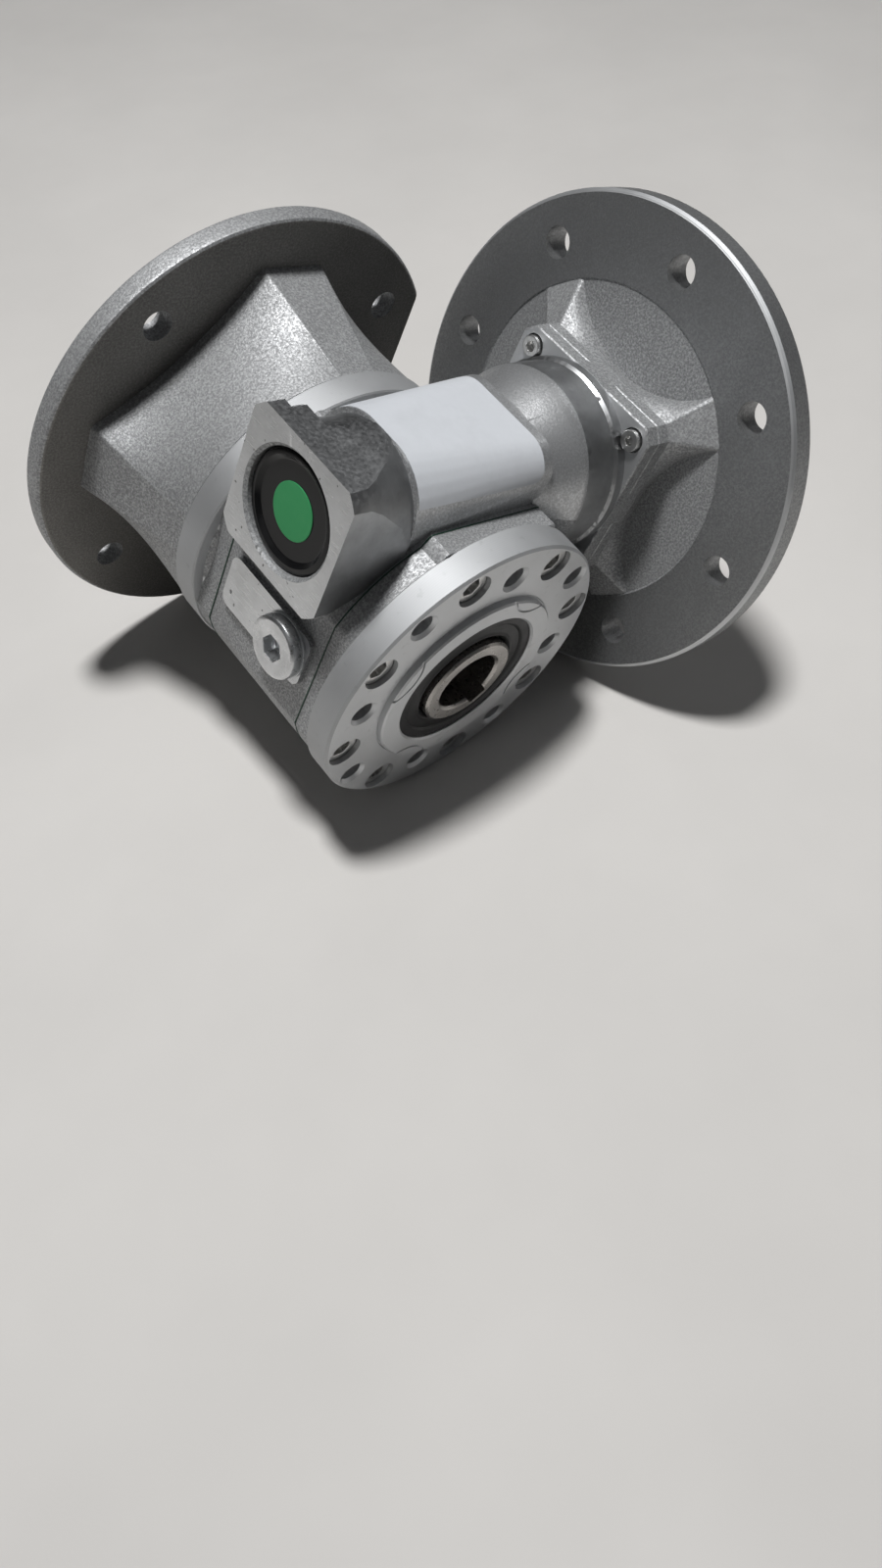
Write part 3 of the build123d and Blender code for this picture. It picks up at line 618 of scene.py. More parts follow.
def input_profile(grow=0.0):
    """Outer (x, radius) points of the flare, the input cylinder and its step, up to the square seat."""
    outline = [(19.0, 20.4), (21.0, 21.2), (25.5, 23.4), (30.0, 25.5), (32.4, 26.2), (34.0, 26.5),
               (45.0, 26.5), (45.9, 27.3), (SEAT_X, 27.3)]
    return [(19.0, 0.0)] + [(x, r + grow) for x, r in outline] + [(SEAT_X, 0.0)]


def seat_shape(edge=0.0):
    """Tip, half width and waist of the motor seat's square with cut corners, drawn in by its edge."""
    half, corner = 26.8 - edge, 3.4
    return (2 * half - corner) / sqrt(2), corner / sqrt(2), 26.9 - edge


def seat_sections(start, end):
    """Sections of a square seat with chamfered ends."""
    full, small = lobed_ring(*seat_shape(), 45), lobed_ring(*seat_shape(SEAT_EDGE), 45)
    return [(start, small), (start + SEAT_EDGE, full), (end - SEAT_EDGE, full), (end, small)]


def barrel_section(half, corner, crease, foot_half):
    """Section of the worm barrel: rounded above, with drafted cheeks below the crease."""
    outline = [(-foot_half, -13.0), (-half, crease), (-half, half),
               (half, half), (half, crease), (foot_half, -13.0)]
    return round_corners(outline, [0, 2.5, corner, corner, 2.5, 0], 10)


def cap_section(ear, corner, half=CAP_HALF):
    """Square of the cap end: one radius cuts the stepped corner, its ear, and another the other three."""
    steps = {acos(CAP_HALF / limit) for limit in CAP_CORNERS}
    angles = {pi / 2 * k / 40 for k in range(40)} | steps | {pi / 2 - t for t in steps}
    first = acos(min(1.0, half / corner))
    turns = [first * k / 8 for k in range(8)] + [first + (pi / 2 - 2 * first) * k / 24 for k in range(24)]
    turns += [pi / 2 - first + first * k / 8 for k in range(8)]
    points = []
    for quarter in range(4):
        for t in turns if quarter else sorted(angles):
            reach = min(corner if quarter else ear, half / max(cos(t), sin(t)))
            angle = t + quarter * pi / 2
            points.append((reach * cos(angle), reach * sin(angle)))
    return points


def cap_sections():
    """The ear has two steps, and the other corners of the cap end run out smoothly into the barrel."""
    outer, inner = CAP_CORNERS
    face = cap_section(outer, outer)
    sections = [(CAP_FACE, face), (CAP_STEP, face)]
    run_out = ((CAP_STEP, inner, 0.0), (CAP_NECK, inner, 0.0), (CAP_NECK, CAP_BOSS, 0.0),
               (-38.0, CAP_BOSS, 0.3), (-35.0, CAP_BOSS, 0.5), (-32.0, CAP_BOSS, 0.55),
               (CAP_END, CAP_BOSS, 0.6))
    for x, ear, grown in run_out:
        t = (x - CAP_STEP) / (CAP_END - CAP_STEP)
        sections.append((x, cap_section(ear, outer + (CAP_BOSS - outer) * t, CAP_HALF + grown)))
    return sections


def make_housing(sizes):
    """Middle casting with worm barrel, cap end, flared input body and motor seat."""
    body = prism("housing_skin", cast_outline(sizes.cast_radius), "Y", -CASTING_HALF, CASTING_HALF)
    barrel = [(-27.0 + 48.0 * t, barrel_section(20.4, 16.0 - 7.0 * t, 3.2 + 7.6 * t, 17.6))
              for t in (k / 8 for k in range(9))]
    add(body, skin("barrel", "X", barrel))
    add(body, skin("cap end", "X", cap_sections()))
    add(body, turning("input", "X", input_profile()))
    add(body, skin("seat", "X", seat_sections(SEAT_X, SEAT_END)))
    add(body, rod("bulge", "X", SEAT_BULGE, SEAT_X, SEAT_END, count=ROUND))
    pad = round_corners([(-18.0, -47.5), (18.0, -47.5), (18.0, -30.5), (-18.0, -30.5)], [3] * 4, 6)
    add(body, prism("pad", pad, "X", -44.1, -41.0))
    cut(body, rod("wheel room", "Y", 36.0, -30, 30, count=ROUND))
    for side in (-1, 1):
        cut(body, rod("pilot", "Y", PILOT_RADIUS, side * 18.0, side * 30.0, count=ROUND))
    cut(body, rod("worm room", "X", 14.0, -41.5, 34.0, count=64))
    bore = [(-52.0, 0), (-52.0, 18.6), (CAP_FACE, 16.9), (-49.4, 16.0), (-31.0, 16.0), (-31.0, 0)]
    cut(body, turning("cap bore", "X", bore))
    cut(body, rod("input bore", "X", 21.0, 33.0, 56.0, count=ROUND))
    cut(body, rod("register", "X", 22.4, 51.6, 56.0, count=ROUND))
    cut(body, rod("plug hole", "X", 5.0, -50.0, -30.0, PLUG_CENTRE))
    for place in MOTOR_SCREWS:
        cut(body, rod("sink", "X", 3.5, 44.0, MOTOR_SCREW_SEAT, place))
    soften(body, 0.5)
    tidy_mesh(body)

    def finish(c, n):
        height = hypot(c.y, c.z - WORM_Z)
        if c.x < CAP_STEP and abs(n.x) > 0.9:
            return "milled"
        if c.x < -26.9 and height > 19.0 and abs(n.x) < 0.8 and c.z > 22:
            return "smooth"
        if 33.8 < c.x < SEAT_X - 0.1 and height > 25.5:
            return "smooth"
        # Painted highlight: the upper faces of the barrel and flare take the lighter fine casting
        if -26.9 < c.x < 33.9 and height < 26.6 and c.z > 40.0 and abs(n.y) + n.z > 0.5:
            return "fine"
        if c.x < -43.6 and c.z < 15:
            return "milled"
        seat = abs(n.x) > 0.9 and SEAT_X - 0.5 < c.x < 52
        if seat or c.x > SEAT_END - 0.5 or hypot(c.x, c.z) < PILOT_RADIUS + 0.5:
            return "turned_x"
        return "cast"

    paint(body, ["cast", "smooth", "fine", "turned_x", "milled"], finish)
    stands_for(body, "housing")
    return body


def make_cover(name, side, sizes):
    """One turned side cover with its sunk screw seats, tapped holes and raised spigot."""
    def turned(part, outline, count=ROUND):
        return turning(part, "Y", [(side * depth, radius) for depth, radius in outline], count)

    def drill(part, radius, start, end, centre=(0.0, 0.0), count=48):
        return rod(part, "Y", radius, side * start, side * end, centre, count)

    outline = cast_outline(sizes.cast_radius)
    body = prism(name + "_skin", outline, "Y", side * COVER_BACK, side * (RIM_BACK + 0.3))
    rim = sizes.rim_radius
    add(body, turned("rim", [
        (24.0, 0), (24.0, 40.0), (RIM_BACK, 44.0), (RIM_BACK, rim - 0.4), (RIM_BACK + 0.4, rim),
        (COVER_FACE - 0.7, rim), (COVER_FACE, rim - 0.7), (COVER_FACE, 30.6), (COVER_FACE - 0.25, 30.3),
        (COVER_FACE - 0.25, 30.0), (SPIGOT_TOP - 0.5, 30.0), (SPIGOT_TOP, 29.5), (SPIGOT_TOP, 0)],
        2 * ROUND))
    add(body, drill("pilot", PILOT_RADIUS - 0.05, 18.0, 23.0, count=ROUND))
    cut(body, turned("hollow", [
        (16.0, 0), (16.0, 27.5), (31.0, 27.5), (31.0, 23.5), (38.7, 23.5), (40.5, 25.3), (40.5, 0)]))
    for place in ring_places(COVER_SCREW_CIRCLE, sizes.cover_screws, COVER_FIRST_SCREW):
        cut(body, drill("seat", 5.2, COVER_SCREW_SEAT, 45.0, place, 40))
        cut(body, drill("hole", 3.0, 19.0, 33.0, place, 24))
    for radius, first, bottom in ((37.5, 0.0, 24.3), (41.9, 45.0, 27.3)):
        for place in ring_places(radius, 4, first):
            hole = [(side * depth, circle(reach, place, 32))
                    for depth, reach in ((bottom, 3.4), (36.3, 3.4), (38.3, 5.4))]
            cut(body, skin("tapping", "Y", hole))
    if side < 0:
        for angle in (70, 160, 250, 340):
            t = radians(angle)
            middle = (PILOT_RADIUS * cos(t), PILOT_RADIUS * sin(t))
            outer = drill("arc", 11.0, 38.7, 41.0, middle, 64)
            cut(outer, drill("inner", 10.3, 38.0, 42.0, middle, 64))
            cut(body, outer)
    cut(body, turning("input room", "X", input_profile(INPUT_GAP)))
    soften(body, 0.22, 2, 40.0)
    tidy_mesh(body)

    def finish(c, n):
        reach = hypot(c.x, c.z)
        if abs(c.y) < RIM_BACK - 0.2 and reach > PILOT_RADIUS + 1:
            return "cast"
        if reach > rim - 0.9 and abs(n.y) < 0.9:
            return "rim"
        return "turned_y"

    paint(body, ["cast", "rim", "turned_y"], finish)
    stands_for(body, name)


def make_gasket(name, side, sizes):
    """Bead of sealing compound in the parting line, slightly uneven."""
    outline = cast_outline(sizes.cast_radius, 0.2)
    uneven = [(a * (1 + 0.002 * sin(k * 1.7)), b * (1 + 0.002 * sin(k * 2.3)))
              for k, (a, b) in enumerate(outline)]
    body = prism(name + "_bead", uneven, "Y", side * CASTING_HALF, side * COVER_BACK)
    cut(body, rod("inside", "Y", PILOT_RADIUS, side * 20.0, side * 23.0, count=ROUND))
    cut(body, turning("input room", "X", input_profile(INPUT_GAP)))
    finish_piece(body, name, "sealant")


def make_output_flange(sizes):
    """Cast flange on the far cover: a lobed neck, a plate with one flat side and sunk screws inside."""
    start, end = OUTPUT_PLATE
    r = sizes.flange_radius
    base, plate = lobed_ring(46.4, 6.1, 46.9, 0, 1.6), lobed_ring(55.8, 10.5, 43.0, 0, 1.6)
    body = skin("output_flange_skin", "Y", lofted(base, plate, COVER_FACE, start + 0.3, 6))
    edge = [(0, 1.5), (0.2, 0.8), (0.7, 0.25), (1.5, 0)]
    front, back = [(start + a, r - b) for a, b in edge], [(end - a, r - b) for a, b in edge[::-1]]
    add(body, turning("plate", "Y", [(start, 0)] + front + back + [(end, 0)], 2 * ROUND))
    seat = OUTPUT_SCREW_SEAT
    room = [(36.0, 0), (36.0, 30.05), (seat, 30.05), (seat, 37.0), (end - 4.0, 39.0),
            (end - 4.0, 47.2), (end - 0.4, 47.5), (end + 1, 48.9), (end + 1, 0)]
    cut(body, turning("room", "Y", room))
    for place in ring_places(OUTPUT_SCREW_CIRCLE, 4, 0):
        cut(body, rod("pocket", "Y", 7.5, seat, end, place))
        cut(body, rod("hole", "Y", 4.4, 36.0, 47.0, place, 32))
    for place in ring_places(sizes.bolt_circle, 4, 45):
        cut(body, rod("bolt hole", "Y", sizes.bolt_hole, start - 1, end + 1, place))
    cut(body, prism("flat", [(54.3, -90), (154.3, -90), (154.3, 90), (54.3, 90)], "Y", 20, 90))
    soften(body, 0.5, 3)
    tidy_mesh(body)

    def finish(c, n):
        if c.y > end - 4.2 and abs(n.y) > 0.8 or (hypot(c.x, c.z) < 30.5):
            return "turned_y"
        # Painted shade: the plate's face towards -Y, turned from the lamp, takes the darker casting
        if n.y < -0.8 and c.y > start - 1.0:
            return "dull"
        return "cast"

    paint(body, ["cast", "turned_y", "dull"], finish)
    stands_for(body, "output_flange")


def make_motor_flange(sizes):
    """Cast motor flange: a square foot spread by four lobes onto a round plate with a recess."""
    start, end = MOTOR_PLATE
    r = sizes.flange_radius
    floor = start + 0.4
    profile = [(start, 46.9), (start, r - 1.1), (start + 0.3, r - 0.5), (start + 1.1, r), (end - 1.0, r),
               (end, r - 1.0), (end, 47.9), (end - 0.4, 47.5), (end - 4.0, 47.5), (end - 4.0, 42.0),
               (70.0, 42.0), (69.0, 23.0), (66.2, 21.0), (57.0, 16.0), (54.0, 15.6), (51.8, 15.0),
               (51.8, 22.35), (54.4, 22.35), (54.4, 25.0), (58.0, 25.0), (61.0, 24.0), (floor, 24.0),
               (floor, 46.4)]
    body = turning("motor_flange_skin", "X", profile, 2 * ROUND)
    half = 7.5
    star = lobed_ring(sqrt(47.4**2 - half**2) - 0.1, half, 24.6, 45, 1.2)
    foot_end = lobed_ring(*seat_shape(SEAT_EDGE), 45, 1.2)
    lobes = skin("star", "X", lofted(foot_end, star, BASE_END, floor + 0.1, 4))
    add(lobes, skin("foot", "X", seat_sections(SEAT_END, BASE_END)))
    bulge = [(SEAT_END, 0), (SEAT_END, SEAT_BULGE), (BASE_END - SEAT_EDGE, SEAT_BULGE),
             (BASE_END, SEAT_BULGE - SEAT_EDGE), (BASE_END, 0)]
    add(lobes, turning("bulge", "X", bulge))
    room = [(50.0, 0), (50.0, 15.2), (54.0, 15.8), (57.0, 16.2), (66.2, 21.2), (68.0, 22.2), (68.0, 0)]
    cut(lobes, turning("room", "X", room))
    add(body, lobes)
    for place in ring_places(sizes.bolt_circle, 8, 0):
        cut(body, rod("bolt hole", "X", sizes.bolt_hole, start - 1, end + 1, place))
    for place in MOTOR_SCREWS:
        cut(body, rod("tapping", "X", 1.65, 50.0, 62.0, place, 24))
    soften(body, 0.4, 3, 40.0)
    tidy_mesh(body, 19.0)

    def finish(c, n):
        reach = hypot(c.y, c.z - WORM_Z)
        if c.x > end - 4.2 and n.x > 0.8:
            return "turned_x"
        if reach > r - 1.2 and c.x < start + 1.3:
            return "turned_x"
        if reach > 47.0:
            return "skimmed"
        return "cast"

    paint(body, ["cast", "turned_x", "skimmed"], finish)
    stands_for(body, "motor_flange")


SCREW_SIZES = {"Circle": 0.04, "First Angle": 0.0, "Head Radius": 0.005, "Head Height": 0.006,
               "Socket Radius": 0.003, "Shank Radius": 0.0025, "Shank Length": 0.014}


def screw_tree(finish):
    """Geometry Nodes: socket cap screws on a circle or on a square's corners."""
    tree = bpy.data.node_groups.new("sunk screws", "GeometryNodeTree")
    new_socket = tree.interface.new_socket
    new_socket("Count", in_out="INPUT", socket_type="NodeSocketInt").default_value = 8
    for name, value in SCREW_SIZES.items():
        new_socket(name, in_out="INPUT", socket_type="NodeSocketFloat").default_value = value
    new_socket("Geometry", in_out="OUTPUT", socket_type="NodeSocketGeometry")
    sizes = tree.nodes.new("NodeGroupInput").outputs

    def node(kind, settings=None, **inputs):
        return add_node(tree, kind, settings, spaced(inputs))

    def maths(operation, first, second):
        return add_node(tree, "ShaderNodeMath", {"operation": operation}, {0: first, 1: second}).outputs[0]

    def cylinder(corners, radius, depth):
        made = node("GeometryNodeMeshCylinder", Vertices=corners, Radius=sizes[radius], Depth=sizes[depth])
        return made.outputs["Mesh"]

    def lifted(mesh, height):
        shift = node("ShaderNodeCombineXYZ", Z=height).outputs[0]
        return node("GeometryNodeTransform", Geometry=mesh, Translation=shift).outputs[0]

    overlap = 0.2 * MM
    drop = maths("MULTIPLY", maths("SUBTRACT", sizes["Shank Length"], overlap), -0.5)
    head = lifted(cylinder(40, "Head Radius", "Head Height"), maths("MULTIPLY", sizes["Head Height"], 0.5))
    socket = lifted(cylinder(6, "Socket Radius", "Head Height"), sizes["Head Height"])
    shank = lifted(cylinder(24, "Shank Radius", "Shank Length"), drop)
    carving = {"operation": "DIFFERENCE", "solver": "EXACT"}
    carved = node("GeometryNodeMeshBoolean", carving, Mesh_1=head, Mesh_2=socket)
    whole = node("GeometryNodeMeshBoolean", {"operation": "UNION", "solver": "EXACT"})
    for part in (carved.outputs[0], shank):
        tree.links.new(part, whole.inputs["Mesh 2"])
    spots = node("GeometryNodeMeshCircle", Vertices=sizes["Count"], Radius=sizes["Circle"])
    turn = node("ShaderNodeCombineXYZ", Z=sizes["First Angle"])
    spots = node("GeometryNodeTransform", Geometry=spots.outputs[0], Rotation=turn.outputs[0])
    placed = node("GeometryNodeInstanceOnPoints", Points=spots.outputs[0], Instance=whole.outputs[0])
    real = node("GeometryNodeRealizeInstances", Geometry=placed.outputs[0])
    painted = node("GeometryNodeSetMaterial", Geometry=real.outputs[0], Material=FINISHES[finish])
    node("NodeGroupOutput", Geometry=painted.outputs[0])
    return tree


def seated(x, y, z, angle, axis):
    """Places screws on a seat in millimetres, turned from the upright."""
    return Matrix.Translation((x * MM, y * MM, z * MM)) @ Matrix.Rotation(angle, 4, axis)


def make_screws(name, tree, place, count, first, **lengths):
    """One set of screws from the node tree, with lengths in millimetres and the first angle in degrees."""
    obj = link_object(name + "_set", bpy.data.meshes.new(name))
    modifier = obj.modifiers.new("screws", "NODES")
    modifier.node_group = tree
    sockets = {item.name: item.identifier for item in tree.interface.items_tree if item.in_out == "INPUT"}
    modifier[sockets["Count"]] = count
    modifier[sockets["First Angle"]] = radians(first)
    for key, value in spaced(lengths).items():
        modifier[sockets[key]] = value * MM
    soften(obj, 0.35, 2, 40, "MITER_SHARP")
    obj.data.transform(place)
    tidy_mesh(obj)
    stands_for(obj, name)


def make_end_cap():
    """Rubber cap in the worm bore and the painted disc on it."""
    cap = turning("end_cap_skin", "X", [
        (-47.75, 0), (-47.75, 12.4), (-47.95, 12.9), (-48.8, 14.0), (-48.8, 15.0), (-48.5, 15.6),
        (-47.8, 15.95), (-41.3, 15.95), (-41.3, 13.5), (-45.4, 13.5), (-45.4, 0)])
    finish_piece(cap, "end_cap", "cap")
    disc = turning("cap_disc_skin", "X", [
        (-47.75, 0), (-47.75, 7.5), (-47.95, 7.5), (-48.05, 7.3), (-48.05, 0)])
    finish_piece(disc, "cap_disc", "disc")


def make_oil_plug():
    """Plug with a hexagon socket and the washer under it."""
    seat = PLUG_SEAT
    outline = [(seat + 7, 5.0), (seat, 5.0), (seat, 8.6), (seat - 0.3, 9.0), (seat - 2.2, 9.0),
               (seat - 2.8, 8.75), (seat - 3.2, 8.2), (seat - 3.3, 7.6)]
    plug = skin("oil_plug_skin", "X", [(x, circle(r, PLUG_CENTRE, 96)) for x, r in outline])
    middle_a, middle_b = PLUG_CENTRE
    hexagon = [(middle_a + 4.0 * cos(pi * k / 3), middle_b + 4.0 * sin(pi * k / 3)) for k in range(6)]
    cut(plug, prism("hexagon", hexagon, "X", seat - 5, seat + 0.8))
    soften(plug, 0.2, 2, 40)
    finish_piece(plug, "oil_plug", "plug")
    washer = rod("plug_washer_skin", "X", 9.3, seat, seat + 0.9, PLUG_CENTRE, 96)
    cut(washer, rod("hole", "X", 5.0, seat - 1, seat + 2, PLUG_CENTRE))
    soften(washer, 0.15)
    finish_piece(washer, "plug_washer", "milled")


def make_output_seals():
    """Lip seals round both ends of the hollow shaft."""
    section = [(38.3, 23.5), (38.3, 21.2), (38.0, 20.6), (37.6, 20.2), (37.6, 17.6), (37.9, 17.1),
               (38.1, 16.5), (37.6, 15.6), (36.2, 15.05), (34.9, 15.05), (34.2, 16.2), (36.4, 17.6),
               (36.4, 21.6), (31.3, 21.9), (31.3, 23.5)]
    for name, side in both_sides("output_seal"):
        seal = turning(name + "_skin", "Y", [(side * y, r) for y, r in section])
        finish_piece(seal, name, "rubber", 40)


def make_output_shaft():
    """Hollow shaft with a keyway in the bore and the slot of the wheel's key outside."""
    shaft = turning("output_shaft_skin", "Y", [
        (-39.2, 10.0), (-40.0, 10.8), (-40.0, 14.3), (-39.3, 15.0),
        (39.3, 15.0), (40.0, 14.3), (40.0, 10.8), (39.2, 10.0)])
    for inner, outer, reach, angle in ((0.0, 12.8, 50.0, -47.0), (13.2, 20.0, 12.0, 133.0)):
        slot = [(inner, -KEY_HALF), (outer, -KEY_HALF), (outer, KEY_HALF), (inner, KEY_HALF)]
        cut(shaft, prism("keyway", rotated(slot, radians(angle)), "Y", -reach, reach))
    soften(shaft, 0.15, 2, 40)
    finish_piece(shaft, "output_shaft", "steel")


def make_label(housing, sizes):
    """Blank sticker wrapped over the barrel, laid on the casting by rays."""
    tree = BVHTree.FromObject(housing, bpy.context.evaluated_depsgraph_get())
    rows, columns = 56, 48
    low, high = radians(31.0), radians(137.0)
    start, end, corner = sizes.label_start, sizes.label_end, 3.0
    points = []
    for row in range(rows + 1):
        t = row / rows
        angle = low + (high - low) * t
        edge = min(t, 1 - t) * (high - low) * 20.5
        inset = 0.0 if edge >= corner else corner - sqrt(corner**2 - (corner - edge) ** 2)
        for column in range(columns + 1):
            x = start + (end - inset - start) * column / columns
            way = Vector((0, -cos(angle), sin(angle)))
            origin = Vector((x, 0, WORM_Z)) * MM + way * 60 * MM
            hit = tree.ray_cast(origin, -way)[0]
            points.append((hit + way * 0.10 * MM) / MM)
    width = columns + 1
    firsts = [row * width + column for row in range(rows) for column in range(columns)]
    faces = [[a, a + 1, a + width + 1, a + width] for a in firsts]
    label = mesh_object("blank_label", points, faces)
    if sum(face.normal.z for face in label.data.polygons) < 0:
        label.data.flip_normals()
    shell = label.modifiers.new("paper", "SOLIDIFY")
    shell.thickness = 0.09 * MM
    shell.offset = -1
    bake(label)
    tidy_mesh(label, 50)
    paint(label, ["paper"], lambda c, n: "paper")
    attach(label, "case")


def dress_inside():
    """Finishes for the parts that stay as the source made them."""
    finish = {"cast_aluminium": "cast", "plug_aluminium": "plug", "zinc_screws": "zinc",
              "spring_steel": "spring", "shaft_steel": "steel", "hub_iron": "iron", "bronze": "bronze",
              "black_rubber": "rubber", "green_sealant": "sealant", "green_disc": "disc",
              "bearing_steel": "race", "cage_steel": "cage"}
    for name, obj in frame["nodes"].items():
        material = FINISHES[finish[SLOTS[name]]]
        if not obj.material_slots:
            obj.data.materials.append(material)
        for place in obj.material_slots:
            place.material = material


def make_camera():
    """The photograph's viewpoint."""
    camera = bpy.data.cameras.new("camera")
    camera.sensor_width = 36.0
    camera.lens = 27.03
    camera.clip_start = 0.01
    obj = link_object("camera", camera)
    turn = Matrix((VIEW_RIGHT, VIEW_UP, VIEW_OUT)).transposed()
    obj.matrix_world = Matrix.Translation(CAMERA_PLACE * MM) @ turn.to_4x4()
    bpy.context.scene.camera = obj


def make_table(colour):
    """Table that the gearbox lies on, clear from below."""
    normal = TABLE_NORMAL
    height = min(normal.dot(vertex.co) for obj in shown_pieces() if obj.type == "MESH"
                 for vertex in obj.data.vertices)
    side = normal.orthogonal().normalized() * TABLE_HALF
    other = normal.cross(side)
    floor = link_object("table", bpy.data.meshes.new("table"))
    corners = [normal * height + side * a + other * b for a, b in ((-1, -1), (1, -1), (1, 1), (-1, 1))]
    floor.data.from_pydata(corners, [], [(0, 1, 2, 3)])
    if floor.data.polygons[0].normal.dot(normal) < 0:
        floor.data.flip_normals()
    s = Surface("table_top", Roughness=0.75, Specular_IOR_Level=0.2)
    soft = s.noise(9.0, 4.0, 0.6)
    fine = s.noise(900.0, 2.0, 0.5)
    s.feed("Base Color", s.mix(s.remap(soft, 0.3, 0.7), shade(colour, 0.96), shade(colour, 1.03)))
    s.feed("Normal", s.bump(fine, 0.00008, 0.25))
    clear = s.node("ShaderNodeBsdfTransparent")
    back = s.node("ShaderNodeNewGeometry").outputs["Backfacing"]
    mixed = s.node("ShaderNodeMixShader", None, {0: back, 1: s.shader.outputs[0], 2: clear.outputs[0]})
    s.link(mixed.outputs[0], s.output.inputs["Surface"])
    floor.data.materials.append(s.material)
    floor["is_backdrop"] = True


def make_lamp(name, towards, distance, size, power):
    """Round lamp that looks at the gearbox from a direction."""
    data = bpy.data.lights.new(name, "AREA")
    data.shape = "DISK"
    data.size = size
    data.energy = power
    way = towards.normalized()
    turn = way.to_track_quat("Z", "Y").to_matrix().to_4x4()
    link_object(name, data).matrix_world = Matrix.Translation(way * distance) @ turn


def make_world():
    """Dim room, lighter overhead."""
    world = bpy.data.worlds.new("pale room")
    bpy.context.scene.world = world
    world.use_nodes = True
    tree = world.node_tree
    place = add_node(tree, "ShaderNodeTexCoord").outputs["Generated"]
    direction = add_node(tree, "ShaderNodeSeparateXYZ", None, {0: place})
    height = add_node(tree, "ShaderNodeMapRange", None, {
        "Value": direction.outputs["Z"], "From Min": -0.1, "From Max": 0.9, "To Min": 0.02, "To Max": 0.085})
    background = tree.nodes["Background"]
    background.inputs["Color"].default_value = (0.94, 0.96, 1.0, 1.0)
    tree.links.new(height.outputs[0], background.inputs["Strength"])


def make_stage(colours):
    make_table(colours.floor)
    make_lamp("key", TABLE_NORMAL - VIEW_RIGHT * 0.04, 1.3, 0.20, 18.0)
    make_lamp("fill", VIEW_OUT * 0.9 - VIEW_RIGHT * 0.9 - VIEW_UP * 0.1, 1.5, 0.9, 0.5)
    make_lamp("rim", VIEW_UP * 0.9 + VIEW_RIGHT * 0.6 + VIEW_OUT * 0.2, 1.4, 0.6, 0.8)
    make_world()


class GearboxOperator:
    """Shared start of the gearbox operators."""

    def sizes(self, context):
        return context.scene.gearbox_sizes


class GEARBOX_OT_finishes(GearboxOperator, bpy.types.Operator):
    """Make the materials and give them to the parts without a new form"""

    bl_idname = "gearbox.finishes"
    bl_label = "Finishes"

    def execute(self, context):
        make_finishes(context.scene.gearbox_colours)
        dress_inside()
        return {"FINISHED"}


class GEARBOX_OT_camera(GearboxOperator, bpy.types.Operator):
    """Place the camera"""

    bl_idname = "gearbox.camera"
    bl_label = "Camera"

    def execute(self, context):
        make_camera()
        return {"FINISHED"}


class GEARBOX_OT_housing(GearboxOperator, bpy.types.Operator):
    """Build the middle housing and its blank label"""

    bl_idname = "gearbox.housing"
    bl_label = "Housing"

    def execute(self, context):
        sizes = self.sizes(context)
        make_label(make_housing(sizes), sizes)
        return {"FINISHED"}


class GEARBOX_OT_covers(GearboxOperator, bpy.types.Operator):
    """Build both side covers and their sealing beads"""

    bl_idname = "gearbox.covers"
    bl_label = "Covers"

    def execute(self, context):
        sizes = self.sizes(context)
        for name, side in both_sides("cover"):
            make_cover(name, side, sizes)
            make_gasket(name + "_gasket", side, sizes)
        return {"FINISHED"}


class GEARBOX_OT_flanges(GearboxOperator, bpy.types.Operator):
    """Build the output flange and the motor flange"""

    bl_idname = "gearbox.flanges"
    bl_label = "Flanges"

    def execute(self, context):
        make_output_flange(self.sizes(context))
        make_motor_flange(self.sizes(context))
        return {"FINISHED"}


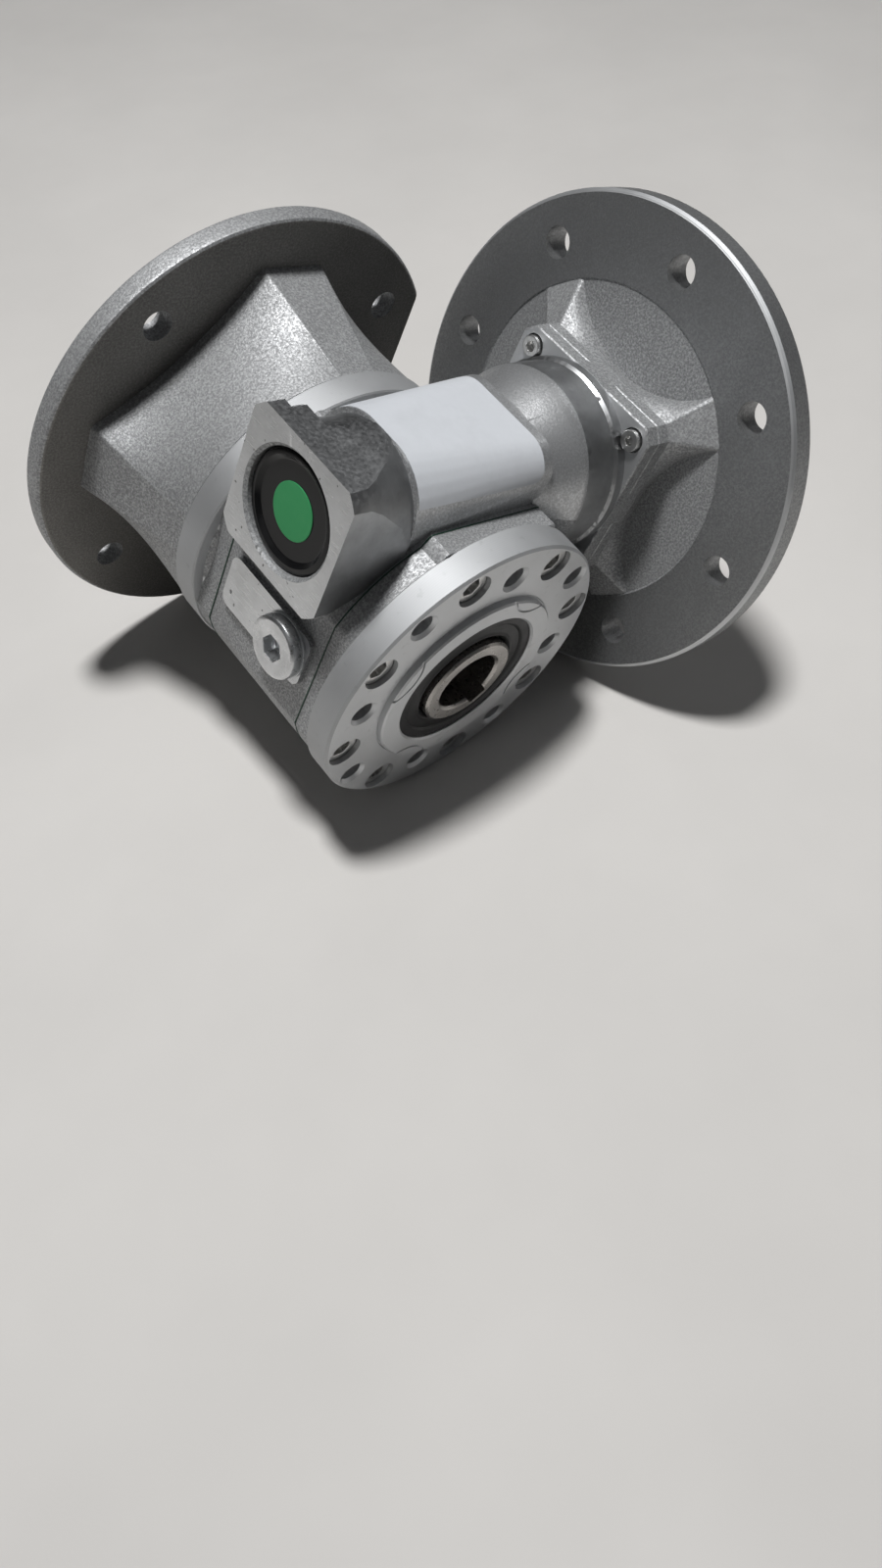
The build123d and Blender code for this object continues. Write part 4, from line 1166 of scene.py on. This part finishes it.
class GEARBOX_OT_screws(GearboxOperator, bpy.types.Operator):
    """Build every set of socket cap screws"""

    bl_idname = "gearbox.screws"
    bl_label = "Screws"

    def execute(self, context):
        tree = screw_tree("zinc")
        for name, side in both_sides("cover_screws"):
            make_screws(
                name, tree, seated(0, side * COVER_SCREW_SEAT, 0, -side * pi / 2, "X"),
                self.sizes(context).cover_screws, COVER_FIRST_SCREW, Circle=COVER_SCREW_CIRCLE,
                Head_Radius=4.95, Head_Height=6.0, Socket_Radius=2.9, Shank_Radius=2.5, Shank_Length=14.5)
        make_screws(
            "output_flange_screws", tree, seated(0, OUTPUT_SCREW_SEAT, 0, -pi / 2, "X"), 4, 0.0,
            Circle=OUTPUT_SCREW_CIRCLE, Head_Radius=6.5, Head_Height=8.0, Socket_Radius=3.46,
            Shank_Radius=3.4, Shank_Length=20.0)
        make_screws(
            "motor_flange_screws", tree, seated(MOTOR_SCREW_SEAT, 0, WORM_Z, -pi / 2, "Y"), 4, 45.0,
            Circle=SCREW_OFFSET * sqrt(2), Head_Radius=3.0, Head_Height=4.0, Socket_Radius=1.5,
            Shank_Radius=1.65, Shank_Length=9.6)
        return {"FINISHED"}


class GEARBOX_OT_small_parts(GearboxOperator, bpy.types.Operator):
    """Build the end cap, oil plug, seals and output shaft"""

    bl_idname = "gearbox.small_parts"
    bl_label = "Small parts"

    def execute(self, context):
        make_end_cap()
        make_oil_plug()
        make_output_seals()
        make_output_shaft()
        return {"FINISHED"}


class GEARBOX_OT_stage(GearboxOperator, bpy.types.Operator):
    """Lay the table and set the lamps"""

    bl_idname = "gearbox.stage"
    bl_label = "Stage"

    def execute(self, context):
        make_stage(context.scene.gearbox_colours)
        return {"FINISHED"}


OPERATORS = (GEARBOX_OT_camera, GEARBOX_OT_finishes, GEARBOX_OT_housing, GEARBOX_OT_covers,
             GEARBOX_OT_flanges, GEARBOX_OT_screws, GEARBOX_OT_small_parts, GEARBOX_OT_stage)


class GEARBOX_PT_panel(bpy.types.Panel):
    """Sizes, colours and the operators in the order they run"""

    bl_label = "Worm gearbox"
    bl_idname = "GEARBOX_PT_panel"
    bl_space_type = "VIEW_3D"
    bl_region_type = "UI"
    bl_category = "Gearbox"

    def draw(self, context):
        for group in (context.scene.gearbox_sizes, context.scene.gearbox_colours):
            for key in group.__annotations__:
                self.layout.prop(group, key)
        for operator in OPERATORS:
            self.layout.operator(operator.bl_idname)


CLASSES = (GearboxSizes, GearboxColours) + OPERATORS + (GEARBOX_PT_panel,)


def register():
    for cls in CLASSES:
        bpy.utils.register_class(cls)
    bpy.types.Scene.gearbox_sizes = PointerProperty(type=GearboxSizes)
    bpy.types.Scene.gearbox_colours = PointerProperty(type=GearboxColours)


def unregister():
    del bpy.types.Scene.gearbox_sizes
    del bpy.types.Scene.gearbox_colours
    for cls in reversed(CLASSES):
        bpy.utils.unregister_class(cls)


def main():
    register()
    bpy.context.scene.view_settings.view_transform = "Standard"
    for operator in OPERATORS:
        getattr(bpy.ops.gearbox, operator.bl_idname.split(".")[1])()


if __name__ == "__main__":
    main()
